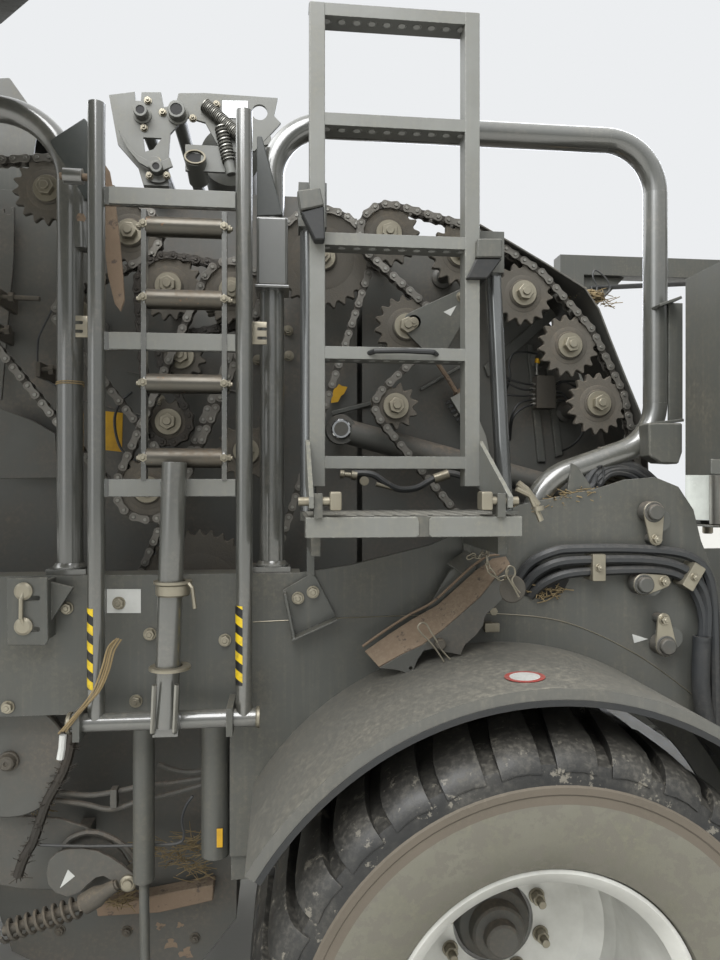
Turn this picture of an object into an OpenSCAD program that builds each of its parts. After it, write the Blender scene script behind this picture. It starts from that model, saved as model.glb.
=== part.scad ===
// A trailed round baler with a bale wrapper behind its chamber, on a tandem axle.
// Millimetres. X runs to the rear, Y to the machine's right, Z up from the ground.
// The left side, which has the ladder, lies towards negative Y.

/* [Overall] */
// Reach of the hitch eye in front of the middle, and of the lamp bar behind it
half_length = 3800; // [3780:10:3850]
// Outer face of each side frame, from the middle
frame_y = 1030; // [1025:1:1035]
// Top of the front side beam
beam_top = 1616; // [1606:2:1626]
// Height of the front side beam
beam_h = 358; // [340:2:370]

/* [Wheels] */
// Outer radius of a tyre, at the tips of its lugs
tyre_r = 655; // [645:1:658]
// Width of a tyre
tyre_w = 710; // [690:5:715]
// Height of a lug above the floor of the tread
lug_h = 36; // [28:1:38]
// Middle plane of the tyres, from the middle
tyre_y = 1135; // [1130:1:1140]
// Front axle line
axle_x1 = 570; // [560:2:575]
// Rear axle line
axle_x2 = 2000; // [1995:1:2010]
// Radius of the rim seat
rim_r = 337; // [330:1:342]
// Radius of the fender's sheet
fender_r = 766; // [755:1:775]

/* [Bale chamber] */
// Middle of the chamber, along the machine
chamber_x = 235; // [230:1:240]
// Middle of the chamber above the ground
chamber_z = 1840; // [1830:1:1850]
// Radius of the circle that the roller axes lie on
ring_r = 735; // [730:1:740]
// Radius of a chamber roller
roller_r = 100; // [90:1:105]
// Outer face of each fixed chamber wall, from the middle
wall_y = 634; // [630:1:638]
// Height of the tailgate's hinge
gate_z = 2640; // [2630:1:2650]
// Middle plane of the chains, from the middle
chain_y = 893; // [888:1:897]

/* [Guards and ladder] */
// Diameter of the guard hoops' tube
hoop_d = 66; // [60:1:68]
// Plane of the guard hoops, from the middle
hoop_y = 980; // [976:1:984]
// Top of the guard hoops, at the tube's middle
hoop_top = 2835; // [2815:5:2850]
// Width of the ladder over its stiles
ladder_w = 420; // [400:5:430]
// Top of the ladder
ladder_top = 3020; // [2990:5:3040]
// Plane of the ladder while it stands up, from the middle
ladder_y = 1180; // [1172:1:1190]
// Front edge of the platform, from the middle
step_y = 1420; // [1410:1:1430]
// Top of the platform
step_z = 1782; // [1776:1:1790]

/* [Roll lift] */
// Plane of the roll lift's tubes, from the middle
lift_y = 1122; // [1118:1:1126]
// Diameter of the roll lift's tubes
lift_d = 42; // [38:1:44]
// Height of the lift's pivot tube
lift_z = 1265; // [1255:1:1275]
// Top of the roll lift
lift_top = 2790; // [2760:5:2800]

/* [Bale wrapper] */
// Middle of the wrapping ring, along the machine
wrap_x = 2750; // [2740:2:2760]
// Distance of a wrapping leg from the ring's middle
leg_reach = 1200; // [1180:5:1210]
// Top of the wrapping mast
mast_top = 3160; // [3140:5:3180]
// Height of the table rollers' axes
table_z = 1050; // [1045:1:1060]

/* [Pickup and drawbar] */
// Axis of the pickup reel, along the machine
reel_x = -1400; // [-1410:2:-1390]
// Height of the reel's axis
reel_z = 350; // [345:1:360]
// Radius of the reel over its tines
reel_r = 300; // [290:1:305]
// Height of the hitch eye's middle
hitch_z = 730; // [715:1:745]
// Radius of the hitch eye's bore
eye_r = 25; // [20:1:26]

/* [Hidden] */
$fn = 48;

steel = "#3c4144";
worn = "#6d7073";
rubber = "#2a2a29";
silver = "#c9cbcc";
rust = "#8a4f2b";
dusty = "#5b4a3c";

beam_bottom = beam_top - beam_h;
gate_x = chamber_x;
hood_hinge = [-hoop_y, 3015];
hood_open = 68;
hood_depth = 1360;
lift_x = [-460, -100];
cylinder_base = [171, 2019];
cylinder_eye = [1002, 1802];
cylinder_y = 750;
pickup_pivot = [-1000, 950];
rotor_axis = [-728, 1115];
jack_x = -3000;
lugs = 30;
jack_z = 950;
table_pivot = [3350, 900];
outer_plane = chain_y + 12;
mid_plane = chain_y - 38;
inner_plane = chain_y - 88;
gate_tubes = [[1088, 2010], [880, 2470], [1015, 1400]];

// Each drive is a table of sprockets in the order of its chain, counter-clockwise from the left side:
// x, z, pitch radius, teeth, and 1 inside the chain's loop or -1 outside it.
feed_drive = [
    [-433, 2561, 84, 16, 1],
    [-656, 2674, 88, 17, 1],
    [-1000, 2640, 88, 17, 1],
    [-375, 1838, 84, 16, 1],
    [-575, 2330, 60, 11, -1]
];
net_drive = [
    [-144, 2391, 84, 16, 1],
    [-326, 2414, 88, 17, 1],
    [-326, 2029, 60, 11, 1],
    [-291, 2216, 62, 12, -1]
];
link_drive = [
    [-144, 2391, 84, 16, 1],
    [-375, 1838, 84, 16, 1]
];
chamber_drive = [
    [114, 2525, 143, 28, 1],
    [-245, 1533, 178, 34, 1]
];
// A sprocket with no chain, in the same columns.
spare_drive = [
    [-108, 1947, 78, 15, 1]
];
// Idlers of the tailgate's chain, in the same columns.
gate_idlers = [
    [351, 2306, 84, 16, -1],
    [319, 2077, 60, 11, 1]
];
// Rollers of the tailgate, as angles about the chamber's middle from the rear.
gate_angles = [85, 68, 51, 35, 20, 3, -14, -31, -48, -65];
// Rollers of the fixed chamber, in the same way.
front_angles = [103, 121, 139, 157, 175, 192, 250, 267];

function on_ring(a, r = ring_r) = [chamber_x + r * cos(a), chamber_z + r * sin(a)];

// Outline of a chain round its sprockets, set out from the pitch line by off.
// A positive radius is passed counter-clockwise, a negative one clockwise.
function heading(p, q) =
    let (d = [q[0] - p[0], q[1] - p[1]])
    atan2(d[1], d[0]) - asin((q[2] - p[2]) / norm(d));
function beside(c, r, a) = [c[0] + r * sin(a), c[1] - r * cos(a)];
function turn(a, b, left) =
    let (d = b - a, w = d - 360 * floor(d / 360))
    left ? w : (w == 0 ? 0 : w - 360);
function loop_points(cs, off) = [
    for (i = [0 : len(cs) - 1])
        let (
            c = cs[i],
            prior = cs[(i + len(cs) - 1) % len(cs)],
            next = cs[(i + 1) % len(cs)],
            a = heading(prior, c),
            sweep = turn(a, heading(c, next), c[2] > 0),
            steps = max(1, ceil(abs(sweep) / 15))
        )
        for (k = [0 : steps]) beside(c, c[2] + off, a + sweep * k / steps)
];
function signed(drive) = [for (s = drive) [s[0], s[1], s[2] * s[4]]];

module plate(points, y, t) {
    translate([0, y + t, 0]) rotate([90, 0, 0]) linear_extrude(t) polygon(points);
}

module box(x, y, z) {
    translate([x[0], y[0], z[0]]) cube([x[1] - x[0], y[1] - y[0], z[1] - z[0]]);
}

module disc(p, r, y, t) {
    translate([p[0], y + t, p[1]]) rotate([90, 0, 0]) cylinder(r = r, h = t);
}

module rod(a, b, d) {
    v = b - a;
    translate(a)
        rotate([0, acos(v[2] / norm(v)), atan2(v[1], v[0])])
            cylinder(d = d, h = norm(v));
}

// A bent tube in a plane of constant y, through corner points [x, z].
// Its straight lengths are a hair thicker and run a little way over the bends.
module pipe(points, y, d, bend) {
    n = len(points);
    function dir(i) = (points[i + 1] - points[i]) / norm(points[i + 1] - points[i]);
    function angle(i) =
        let (u = dir(i - 1), w = dir(i))
        atan2(u[0] * w[1] - u[1] * w[0], u[0] * w[0] + u[1] * w[1]);
    function cut(i) = i == 0 || i == n - 1 ? 0 : bend * tan(abs(angle(i)) / 2);
    for (i = [0 : n - 2]) {
        a = points[i] + dir(i) * (cut(i) == 0 ? 0 : cut(i) - 2);
        b = points[i + 1] - dir(i) * (cut(i + 1) == 0 ? 0 : cut(i + 1) - 2);
        rod([a[0], y, a[1]], [b[0], y, b[1]], d + 0.8);
    }
    for (i = [1 : 1 : n - 2]) {
        u = dir(i - 1);
        s = sign(angle(i));
        c = points[i] - u * cut(i) + s * bend * [-u[1], u[0]];
        first = atan2(-s * u[0], s * u[1]) + (s > 0 ? 0 : angle(i));
        translate([c[0], y, c[1]])
            rotate([90, 0, 0])
                rotate([0, 0, first])
                    rotate_extrude(angle = abs(angle(i))) translate([bend, 0]) circle(d = d);
    }
}

module both_sides() {
    children();
    mirror([0, 1, 0]) children();
}

// A toothed wheel in a plane of constant y, on its hub.
module sprocket(p, r, teeth, y, t) {
    step = 360 / teeth;
    tooth = [[-0.36, -7], [-0.12, 9], [0.12, 9], [0.36, -7]];
    plate([
        for (i = [0 : teeth - 1], k = tooth)
            p + (r + k[1]) * [cos((i + k[0]) * step), sin((i + k[0]) * step)]
    ], y, t);
}

// A chain's two rows of side plates, which run either side of the sprockets' teeth.
module chain(drive, plane) {
    for (y = [-plane - 15.3, -plane + 9.3])
        translate([0, y + 6, 0]) rotate([90, 0, 0]) linear_extrude(6) difference() {
            polygon(loop_points(signed(drive), 12));
            polygon(loop_points(signed(drive), -12));
        }
}

// Frame

module side_frame() {
    difference() {
        plate([
            [-1900, beam_top], [42, beam_top], [176, 1635], [394, 1687], [646, 1795], [875, 1842],
            [950, 1865], [1036, 1872], [1105, 1845], [1150, 1780], [1172, 1694], [1230, 1552],
            [1310, 1480], [2760, 1480], [2760, 870], [-142, 870], [-142, beam_bottom],
            [-1900, beam_bottom]
        ], -frame_y, 15);
        for (x = [axle_x1, axle_x2])
            disc([x, tyre_r], tyre_r + 45, -frame_y - 5, 30);
    }
    box([-1900, -142], [-frame_y + 10, -930], [beam_bottom, beam_bottom + 10]);
    box([-1900, 42], [-frame_y + 10, -930], [beam_top - 10, beam_top]);
    for (p = [[1030, 1752], [1006, 1575], [1065, 1428]])
        disc(p, 30, -frame_y - 40, 45);
}

module side_frames() {
    color(steel) both_sides() {
        side_frame();
        translate([-184, -985, 857]) cylinder(r = 37, h = 520);
    }
}

module rear_frame() {
    color(steel) {
        box([-140, -76], [-1014.8, 1014.8], [800, 1000]);
        box([1234, 1336], [-1014.8, 1014.8], [855, 960]);
        box([2680, 2758], [-1014.8, 1014.8], [810, 893]);
        both_sides() {
            box([-77, half_length - 150], [-630, -540], [800, 949]);
            disc(table_pivot, 25.95, -705, 80);
        }
        box([half_length - 240, half_length - 150], [-540, 540], [800, 949]);
        box([1180, 1390], [-540, 540], [640, 849]);
    }
}

module drawbar() {
    color(steel) {
        difference() {
            union() {
                plate([
                    [-1769, 1560], [-1769, 1300], [-3400, 640], [-3640, 640], [-3640, 820], [-3450, 860]
                ], -90, 180);
                translate([-half_length + 60, 0, hitch_z - 23]) cylinder(r = 60, h = 46);
                box([-half_length + 90, -3600], [-45, 45], [hitch_z - 23, hitch_z + 23]);
            }
            translate([-half_length + 60, 0, hitch_z - 60]) cylinder(r = eye_r, h = 120);
        }
        box([-1890, -1769], [-1014.8, 1014.8], [1310, 1560]);
        both_sides() rod([-1830, -800, 1430], [-2700, -80, 1050], 90);
        box([jack_x - 60, jack_x + 60], [-178, -85], [jack_z - 60, jack_z + 60]);
        disc([jack_x, jack_z], 20, -282, 110);
    }
}

// Axles and wheels

module bogie_beams() {
    color(steel) both_sides() {
        difference() {
            plate([
                [460, 580], [700, 590], [1285, 690], [1870, 590], [2110, 580], [2110, 720],
                [1870, 735], [1400, 780], [1170, 780], [700, 735], [460, 720]
            ], -760, 110);
        }
        disc([1285, 720], 60, -650, 110);
        for (x = [axle_x1, axle_x2]) {
            disc([x, tyre_r], 85, -900, 140);
            disc([x, tyre_r], 45, -1035, 136);
        }
    }
}

module fenders() {
    color(steel) both_sides()
        for (f = [[axle_x1, 25, 148], [axle_x2, 32, 155]])
            translate([f[0], -frame_y, tyre_r]) rotate([90, 0, 0]) {
                rotate([0, 0, f[1]])
                    rotate_extrude(angle = f[2] - f[1])
                        translate([fender_r - 6, 0]) square([6, 459]);
                rotate([0, 0, f[1]])
                    rotate_extrude(angle = f[2] - f[1])
                        translate([fender_r - 36, 453]) square([36, 6]);
            }
}

// A tyre's carcass, out to the floor of its tread, with two rows of lugs fused to it.
module tyre_shape() {
    color(rubber) rotate([90, 0, 0]) {
        rotate_extrude() polygon([
            [rim_r + 0.3, -285.5], [rim_r + 24.5, -297.6], [rim_r + 30, -318], [rim_r + 60, -335],
            [480, -tyre_w / 2],
            [560, -tyre_w / 2 + 4], [tyre_r - 50, -tyre_w / 2 + 45], [tyre_r - lug_h, -tyre_w / 2 + 95],
            [tyre_r - lug_h, tyre_w / 2 - 95], [tyre_r - 50, tyre_w / 2 - 45], [560, tyre_w / 2 - 4],
            [480, tyre_w / 2], [rim_r + 60, 335], [rim_r + 30, 318], [rim_r + 24.5, 297.6],
            [rim_r + 0.3, 285.5]
        ]);
        for (side = [0, 1])
            mirror([0, 0, side]) rotate([0, 0, side * 180 / lugs])
                intersection() {
                    translate([0, 0, 8]) linear_extrude(tyre_w / 2 - 10) lug_ring();
                    rotate_extrude() polygon([
                        [tyre_r - 75, 0], [tyre_r, 0], [tyre_r, tyre_w / 2 - 90],
                        [tyre_r - 8, tyre_w / 2 - 40], [tyre_r - 36, tyre_w / 2 - 12],
                        [tyre_r - 75, tyre_w / 2 - 5]
                    ]);
                }
    }
}

// Lugs of one row, seen along the axle.
module lug_ring() {
    step = 360 / lugs;
    polygon([
        for (i = [0 : lugs - 1], k = [[-0.37, -70], [-0.33, 3], [0.33, 3], [0.37, -70]])
            (tyre_r + k[1]) * [cos((i + k[0]) * step), sin((i + k[0]) * step)]
    ]);
}

// The rim's outer side faces negative Y.
module rim_shape() {
    color(silver) rotate([90, 0, 0]) {
        rotate_extrude() polygon([
            [rim_r - 16, -296], [rim_r + 24, -310], [rim_r + 24, -298], [rim_r, -286], [rim_r, 286],
            [rim_r + 24, 298], [rim_r + 24, 310], [rim_r - 12, 296], [rim_r - 16, -30],
            [rim_r - 60, -72], [210, -93], [105, -93], [105, -105], [210, -105], [rim_r - 55, -84],
            [rim_r - 16, -60]
        ]);
        rotate_extrude() polygon([
            [45.05, -225], [106, -225], [106, -92], [76, -86], [74, -50], [46, -44], [44, -12],
            [0, -10], [0, -95], [45.05, -95]
        ]);
    }
}

module at_wheel(x, side) {
    translate([x, side * tyre_y, tyre_r]) mirror([0, side > 0 ? 1 : 0, 0]) children();
}

// Bale chamber

module chamber_walls() {
    color(steel) both_sides() {
        plate([
            [-1120, 1250], [-1120, 2600], [-900, 2760], [-530, 2760], [-530, 2775], [60, 2775],
            [150, 2720], [235, 2712], [235, 1130], [200, 1000.3], [-300, 1000.3], [-620, 1240]
        ], -wall_y, 12);
        disc([gate_x, gate_z], 55, -wall_y, 12);
        disc([gate_x, gate_z], 28, -wall_y - 60, 60);
        disc(cylinder_base, 20.95, -800, 800 - wall_y);
    }
}

module roller_set(angles, y, cut) {
    for (a = angles) {
        disc(on_ring(a), roller_r, -y + cut, 2 * (y - cut));
        disc(on_ring(a), 30, -y, 2 * y);
    }
}

module chamber_rollers() {
    color(worn) roller_set(front_angles, wall_y - 12.2, 5);
}

// Sprockets and their hubs, in one plane.
module sprocket_set(drive, plane) {
    for (s = drive) {
        sprocket([s[0], s[1]], s[2], s[3], -plane - 9, 18);
        disc([s[0], s[1]], 38, -plane - 16, 32);
    }
}

// Shafts from a wall whose outer face is at -y, out to -top.
module shafts(drive, y, top) {
    for (s = drive) disc([s[0], s[1]], 22, -top, top - y - 0.2);
}

module front_sprockets() {
    color(dusty) both_sides() {
        sprocket_set(concat(feed_drive, net_drive, spare_drive), mid_plane);
        sprocket_set(link_drive, outer_plane);
        sprocket_set(chamber_drive, inner_plane);
        shafts([for (i = [0, 1, 2, 4]) feed_drive[i]], wall_y, mid_plane + 26);
        shafts([for (i = [1, 2, 3]) net_drive[i]], wall_y, mid_plane + 26);
        shafts(spare_drive, wall_y, mid_plane + 26);
        shafts(link_drive, wall_y, outer_plane + 26);
        shafts(chamber_drive, wall_y, inner_plane + 26);
    }
}

module front_chains() {
    color(worn) both_sides() {
        chain(feed_drive, mid_plane);
        chain(net_drive, mid_plane);
        chain(link_drive, outer_plane);
        chain(chamber_drive, inner_plane);
    }
}

module gearbox() {
    color(steel) {
        box([-1960, -1680], [-190, 190], [1560.3, 1850]);
        rod([-2070, 0, 1700], [-1955, 0, 1700], 35);
        rod([-1760, -940, 1700], [-1760, 940, 1700], 100);
        both_sides() box([-1795, -1700], [-1000, -935], [beam_top + 0.3, 1760]);
    }
}

module front_cover() {
    color(steel) {
        difference() {
            plate([
                [-1765, 1870], [-1700, 2700], [-1300, 3060], [-845, 3110], [-760, 2990],
                [-780, 2985], [-855, 3098], [-1296, 3048], [-1688, 2694], [-1753, 1870]
            ], -wall_y + 12.3, 2 * wall_y - 24.6);
        }
        both_sides() plate([
            [-1750, 1870], [-1690, 2695], [-1297, 3050], [-855, 3100], [-760, 2985],
            [-800, 2700], [-900, 2500], [-940, 1870]
        ], -wall_y + 12.3, 8);
    }
}

// Side plates of the net unit, with its cross tubes, open pipe and springs.
module net_unit() {
    color(steel) {
        both_sides() {
            difference() {
                plate([
                    [-526, 3028], [-450, 3042], [-448, 3015], [-432, 3015], [-430, 3042], [-372, 3045],
                    [-364, 3000], [-330, 3008], [-320, 3045], [-242, 3050], [-19, 3047], [-30, 2990],
                    [-10, 2970], [-90, 2880], [-190, 2870], [-240, 2960], [-300, 2975], [-345, 2920],
                    [-350, 2850], [-350, 2760], [-425, 2760], [-440, 2812], [-500, 2880]
                ], -712, 10);
                plate([[-425, 2905], [-370, 2905], [-395, 2870], [-420, 2862]], -720, 30);
                disc([-75, 3000], 24, -720, 30);
            }
            box([-425, -350], [-705, -wall_y - 0.3], [2758, 2790]);
            box([-80, -30], [-705, -wall_y - 0.3], [2700, 2900]);
            box([-300, -180], [-712, -702], [2810, 2890]);
        }
        for (p = [[-431, 2976, 20], [-324, 2984, 22], [-388, 2815, 20]])
            disc([p[0], p[1]], p[2], -745, 1490);
        disc([-60, 2920], 20, -711, 1422);
        disc([-170, 2900], 95, -wall_y + 10, 2 * wall_y - 20);
        both_sides() {
            rod([-242, -722, 3010], [-136, -722, 2917], 34);
            rod([-191, -722, 2945], [-160, -722, 2800], 30);
            rod([-269, -722, 2842], [-265, -652, 2803.6], 62);
        }
    }
}

// Guards and steps

module guard_hoops() {
    color(steel) both_sides() {
        pipe([
            [-563, beam_top + 0.3], [-563, hoop_top], [-1860, hoop_top], [-1860, beam_top + 0.3]
        ], -hoop_y, hoop_d, 190);
        pipe([
            [-33, beam_top + 0.3], [-33, hoop_top], [1063, hoop_top], [1063, 1979], [700, 1855],
            [700, 1770]
        ], -hoop_y, hoop_d, 150);
        box([660, 740], [-frame_y + 15.3, -hoop_y + 25], [1740, 1800]);
        for (x = [-1860, -563, -33])
            box([x - 50, x + 50], [-frame_y + 12, -hoop_y + 40], [beam_top + 0.3, beam_top + 15]);
        for (x = [-1700, -1240, -800])
            difference() {
                box([x - 5, x + 5], [-hoop_y - 28, -hoop_y + 28], [hoop_top + 20, hood_hinge[1] + 24]);
                rod([x - 10, -hoop_y, hood_hinge[1]], [x + 10, -hoop_y, hood_hinge[1]], 34.1);
            }
    }
}

module platform() {
    color(steel) {
        box([44, 520], [-step_y, -frame_y - 20], [step_z - 8, step_z]);
        box([44, 520], [-step_y, -step_y + 8], [step_z - 44, step_z]);
        for (x = [60, 484])
            box([x, x + 20], [-step_y + 60, -frame_y - 0.3], [step_z - 90, step_z - 6]);
        for (x = [60, 484])
            box([x, x + 20], [-frame_y - 12, -frame_y - 0.3], [1500, step_z - 6]);
        rod([61, -1120, 1760], [61, -1120, 2530], 40);
        rod([575, -1120, 1778], [541, -1120, 2430], 40);
        box([514, 600], [-1150, -1050], [step_z - 8, step_z]);
        box([36, 106], [-1155, -1085], [2495, 2605]);
        box([492, 562], [-1155, -1085], [2395, 2500]);
        for (x = [72, 470])
            box([x - 9, x + 9], [-step_y - 14, -step_y + 30], [step_z - 2, step_z + 50]);
        rod([48, -step_y, step_z + 33], [72, -step_y, step_z + 33], 18);
        rod([470, -step_y, step_z + 33], [497, -step_y, step_z + 33], 18);
    }
}

// The ladder stands up in the photo and swings out and down about its foot.
module ladder() {
    color(steel) {
        for (x = [62, 62 + ladder_w - 36])
            box([x, x + 36], [-ladder_y - 20, -ladder_y + 20], [1850, ladder_top]);
        for (z = [1905, 2172, 2448, 2739])
            box([62, 62 + ladder_w], [-ladder_y - 30, -ladder_y + 30], [z - 15, z + 15]);
        box([62, 62 + ladder_w], [-ladder_y - 30, -ladder_y + 30], [ladder_top - 30, ladder_top]);
        for (x = [52, 62 + ladder_w])
            difference() {
                translate([x, 0, 0])
                    rotate([90, 0, 90])
                        linear_extrude(10) polygon([
                            [-step_y - 22, step_z + 19], [-step_y + 16, step_z + 13],
                            [-ladder_y + 20, 1850], [-ladder_y + 20, 1960], [-ladder_y - 20, 1960],
                            [-step_y - 24, step_z + 43]
                        ]);
                rod([x - 5, -step_y, step_z + 33], [x + 15, -step_y, step_z + 33], 18.1);
            }
    }
}

module film_boxes() {
    color(steel) both_sides() difference() {
        box([1085, 1800], [-1460, -1100.3], [1877, 2409]);
        box([1091, 1794], [-1465, -1108], [1883, 2403]);
    }
}

// Roll lift, hinged at its foot, with the mast that takes the roll.
module roll_lift() {
    color(steel) {
        for (x = lift_x)
            rod([x, -lift_y, lift_z], [x, -lift_y, lift_top], lift_d);
        rod([lift_x[0] - 60, -lift_y, lift_z], [lift_x[1] + 30, -lift_y, lift_z], 46);
        for (z = [1843, 2205, 2562])
            box([lift_x[0], lift_x[1]], [-lift_y - 6, -lift_y + 6], [z - 22, z + 22]);
        for (x = [-344, -148])
            box([x - 6, x + 6], [-lift_y - 16, -lift_y + 14], [1860, 2530]);
        for (z = [1917, 2102, 2312, 2492])
            rod([-345, -lift_y, z], [-147, -lift_y, z], 44);
        rod([-285, -lift_y - 45, lift_z], [-265, -lift_y - 45, 1905], 60);
        box([-315, -255], [-lift_y - 60, -lift_y + 2], [lift_z - 22, lift_z + 22]);
        box([-300, -240], [-lift_y - 40, -lift_y + 4], [1826, 1858]);
    }
}

module lift_gear() {
    color(steel) {
        for (x = [lift_x[0] - 46, lift_x[1] - 42])
            difference() {
                box([x, x + 16], [-lift_y - 40, -frame_y - 0.3], [lift_z - 34, lift_z + 34]);
                rod([x - 5, -lift_y, lift_z], [x + 25, -lift_y, lift_z], 46.1);
            }
        rod([-371, -990, beam_bottom - 0.3], [-371, -990, 800], 56);
        rod([-371, -990, 810], [-366, -990, 500], 26);
    }
}

module wheel_chock() {
    color(rust) {
        plate([
            [209, 1430], [262, 1398], [330, 1398], [425, 1430], [527, 1534], [621, 1550],
            [615, 1614], [503, 1654], [434, 1629], [402, 1545]
        ], -1150, 60);
        box([508, 548], [-1095, -frame_y - 0.3], [1560, 1620]);
    }
}

// Wrapper

module wrap_mast() {
    color(steel) {
        both_sides() {
            box([1560, 1700], [-1100, -1000], [1480.3, mast_top]);
            box([1500, 1760], [-1014.7, -990], [1380, 1700]);
            box([1700, wrap_x + 60], [-1100, -1000], [mast_top - 110, mast_top]);
        }
        box([wrap_x - 60, wrap_x + 60], [-1000, 1000], [mast_top - 110, mast_top]);
        translate([wrap_x, 0, mast_top - 170]) cylinder(r = 170, h = 60);
        translate([wrap_x, 0, mast_top - 260]) cylinder(r = 50, h = 100);
    }
}

module wrap_arm() {
    color(steel) {
        difference() {
            union() {
                translate([wrap_x, 0, mast_top - 310]) cylinder(r = 150, h = 139.5);
                box([wrap_x - 60, wrap_x + 60], [-leg_reach - 50, leg_reach + 50], [mast_top - 300, mast_top - 200]);
            }
            translate([wrap_x, 0, mast_top - 265]) cylinder(r = 50.05, h = 100);
        }
        both_sides() {
            box([wrap_x - 50, wrap_x + 50], [-leg_reach - 50, -leg_reach + 50], [1600, mast_top - 300]);
            for (z = [1600, 2440])
                box([wrap_x - 250, wrap_x - 50], [-leg_reach - 40, -leg_reach + 40], [z, z + 40]);
        }
    }
}

module film_rolls() {
    color("#e6e6e0") both_sides()
        translate([wrap_x - 180, -leg_reach, 1640.2]) cylinder(r = 125, h = 799.6);
}

module wrap_table() {
    color(steel) {
        both_sides() difference() {
            plate([[2200, 960], [3350, 840], [3450, 900], [3430, 1090], [2230, 1110]], -700, 14);
            disc(table_pivot, 26, -705, 24);
        }
        for (x = [2330, 3240]) disc([x, table_z], 90, -690, 1380);
        box([2560, 2640], [-690, 690], [990, 1030]);
        box([2920, 3000], [-690, 690], [990, 1030]);
    }
}

module table_belts() {
    color(rubber)
        for (y = [-525, -255, 15, 285])
            translate([0, y + 240, 0]) rotate([90, 0, 0]) linear_extrude(240) difference() {
                polygon(loop_points([[2330, table_z, 100], [3240, table_z, 100]], 0));
                polygon(loop_points([[2330, table_z, 90.9], [3240, table_z, 90.9]], 0));
            }
}

module lamp_bar() {
    color(steel) {
        box([half_length - 80, half_length - 40], [-1250, 1250], [700, 840]);
        both_sides() box([half_length - 149.7, half_length - 75], [-620, -560], [760, 900]);
    }
}

module lamps() {
    color("#a02818") both_sides()
        box([half_length - 39.7, half_length], [-1230, -1010], [710, 830]);
}

// Feeding

module feeder_housing() {
    color(steel) {
        both_sides() difference() {
            plate([
                [-1150, 1340], [-1150, 1020], [-900, 640], [-830, 420], [-700, 345], [-260, 345],
                [-150, 480], [-145, 1100], [-560, 1340]
            ], -wall_y - 12.3, 12);
            disc(rotor_axis, 30.05, -wall_y - 15, 20);
        }
        both_sides() disc(pickup_pivot, 20, -1037, 1025 - wall_y);
        plate([
            [-830, 420], [-700, 345], [-260, 345], [-150, 480], [-160, 489], [-266, 357],
            [-697, 357], [-818, 428]
        ], -wall_y - 0.3, 2 * wall_y + 0.6);
    }
}

module feed_rotor() {
    color(steel) {
        disc(rotor_axis, 110, -600, 1200);
        for (i = [0 : 9])
            plate([
                for (k = [0 : 7])
                    rotor_axis + (k % 2 == 0 ? 255 : 120) * [cos(k * 45 + i * 12), sin(k * 45 + i * 12)]
            ], -560 + i * 120, 14);
        disc(rotor_axis, 30, -900, 1800);
        both_sides() disc(rotor_axis, 135, -920, 24);
    }
}

module pickup_frame() {
    color(steel) {
        both_sides() difference() { plate([
            [-1000, 1010], [-940, 950], [-1080, 560], [-1180, 330], [-1340, 290], [-1440, 290],
            [-1480, 390], [-1440, 640], [-1120, 1000]
        ], -1036, 10);
            disc([reel_x, reel_z], 22.05, -1040, 20);
            disc(pickup_pivot, 20.05, -1040, 20);
        }
        disc([-1120, 700], 45, -1030, 2060);
        disc([-1640, 640], 55, -1016, 2032);
        both_sides() plate([[-1640, 600], [-1660, 640], [-1400, 640], [-1380, 560]], -1026, 10);
        both_sides() disc([-1130, 200], 22.95, -1225, 180);
        both_sides() plate([[-1160, 180], [-1100, 180], [-1080, 560], [-1180, 480]], -1048, 12);
    }
}

module pickup_reel() {
    color(worn) {
        disc([reel_x, reel_z], 150, -990, 1980);
        for (i = [0 : 3])
            translate([reel_x, 0, reel_z])
                rotate([0, i * 90 + 20, 0])
                    for (y = [-960 : 80 : 960])
                        box([100, reel_r], [y - 4, y + 4], [-4, 4]);
        both_sides() disc([reel_x, reel_z], 22, -1032, 45);
    }
}

module gauge_wheel(side) {
    color(rubber) difference() {
        disc([-1130, 200], 200, side * 1165 - 65, 130);
        disc([-1130, 200], 23, side * 1165 - 70, 140);
    }
}

module jack() {
    color(steel) {
        difference() {
            rod([jack_x, -230, 20], [jack_x, -230, jack_z + 60], 90);
            disc([jack_x, jack_z], 20.05, -290, 120);
        }
        translate([jack_x, -230, 0]) cylinder(r = 125, h = 21);
    }
}

// Tailgate

module tailgate() {
    color(steel) {
        both_sides() {
            difference() {
                union() {
                    plate([
                        [242, 2643], [516, 2625], [799, 2476], [957, 2276], [1059, 1894],
                        [1046, 1600], [900, 1270], [640, 1040], [400, 985], [300, 1000],
                        [250, 1120], [250, 2500]
                    ], -wall_y - 18, 12);
                    disc([gate_x, gate_z], 60, -wall_y - 18, 12);
                    for (p = gate_tubes) disc(p, 70, -wall_y - 18, 12);
                }
                disc([gate_x, gate_z], 28.05, -wall_y - 25, 25);
            }
            disc(cylinder_eye, 45, -cylinder_y + 28.3, cylinder_y - 28.3 - wall_y - 14);
        }
        for (p = gate_tubes)
            disc(p, 34, -wall_y - 10, 2 * wall_y + 20);
    }
}

module tailgate_rollers() {
    color(worn) roller_set(gate_angles, wall_y + 5.8, 24);
}

// The two lowest rollers have no sprocket, because the front tyres stand there.
gate_drive = concat(
    [for (i = [len(gate_angles) - 3 : -1 : 0]) concat(on_ring(gate_angles[i]), [84, 16, 1])],
    gate_idlers
);

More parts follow.
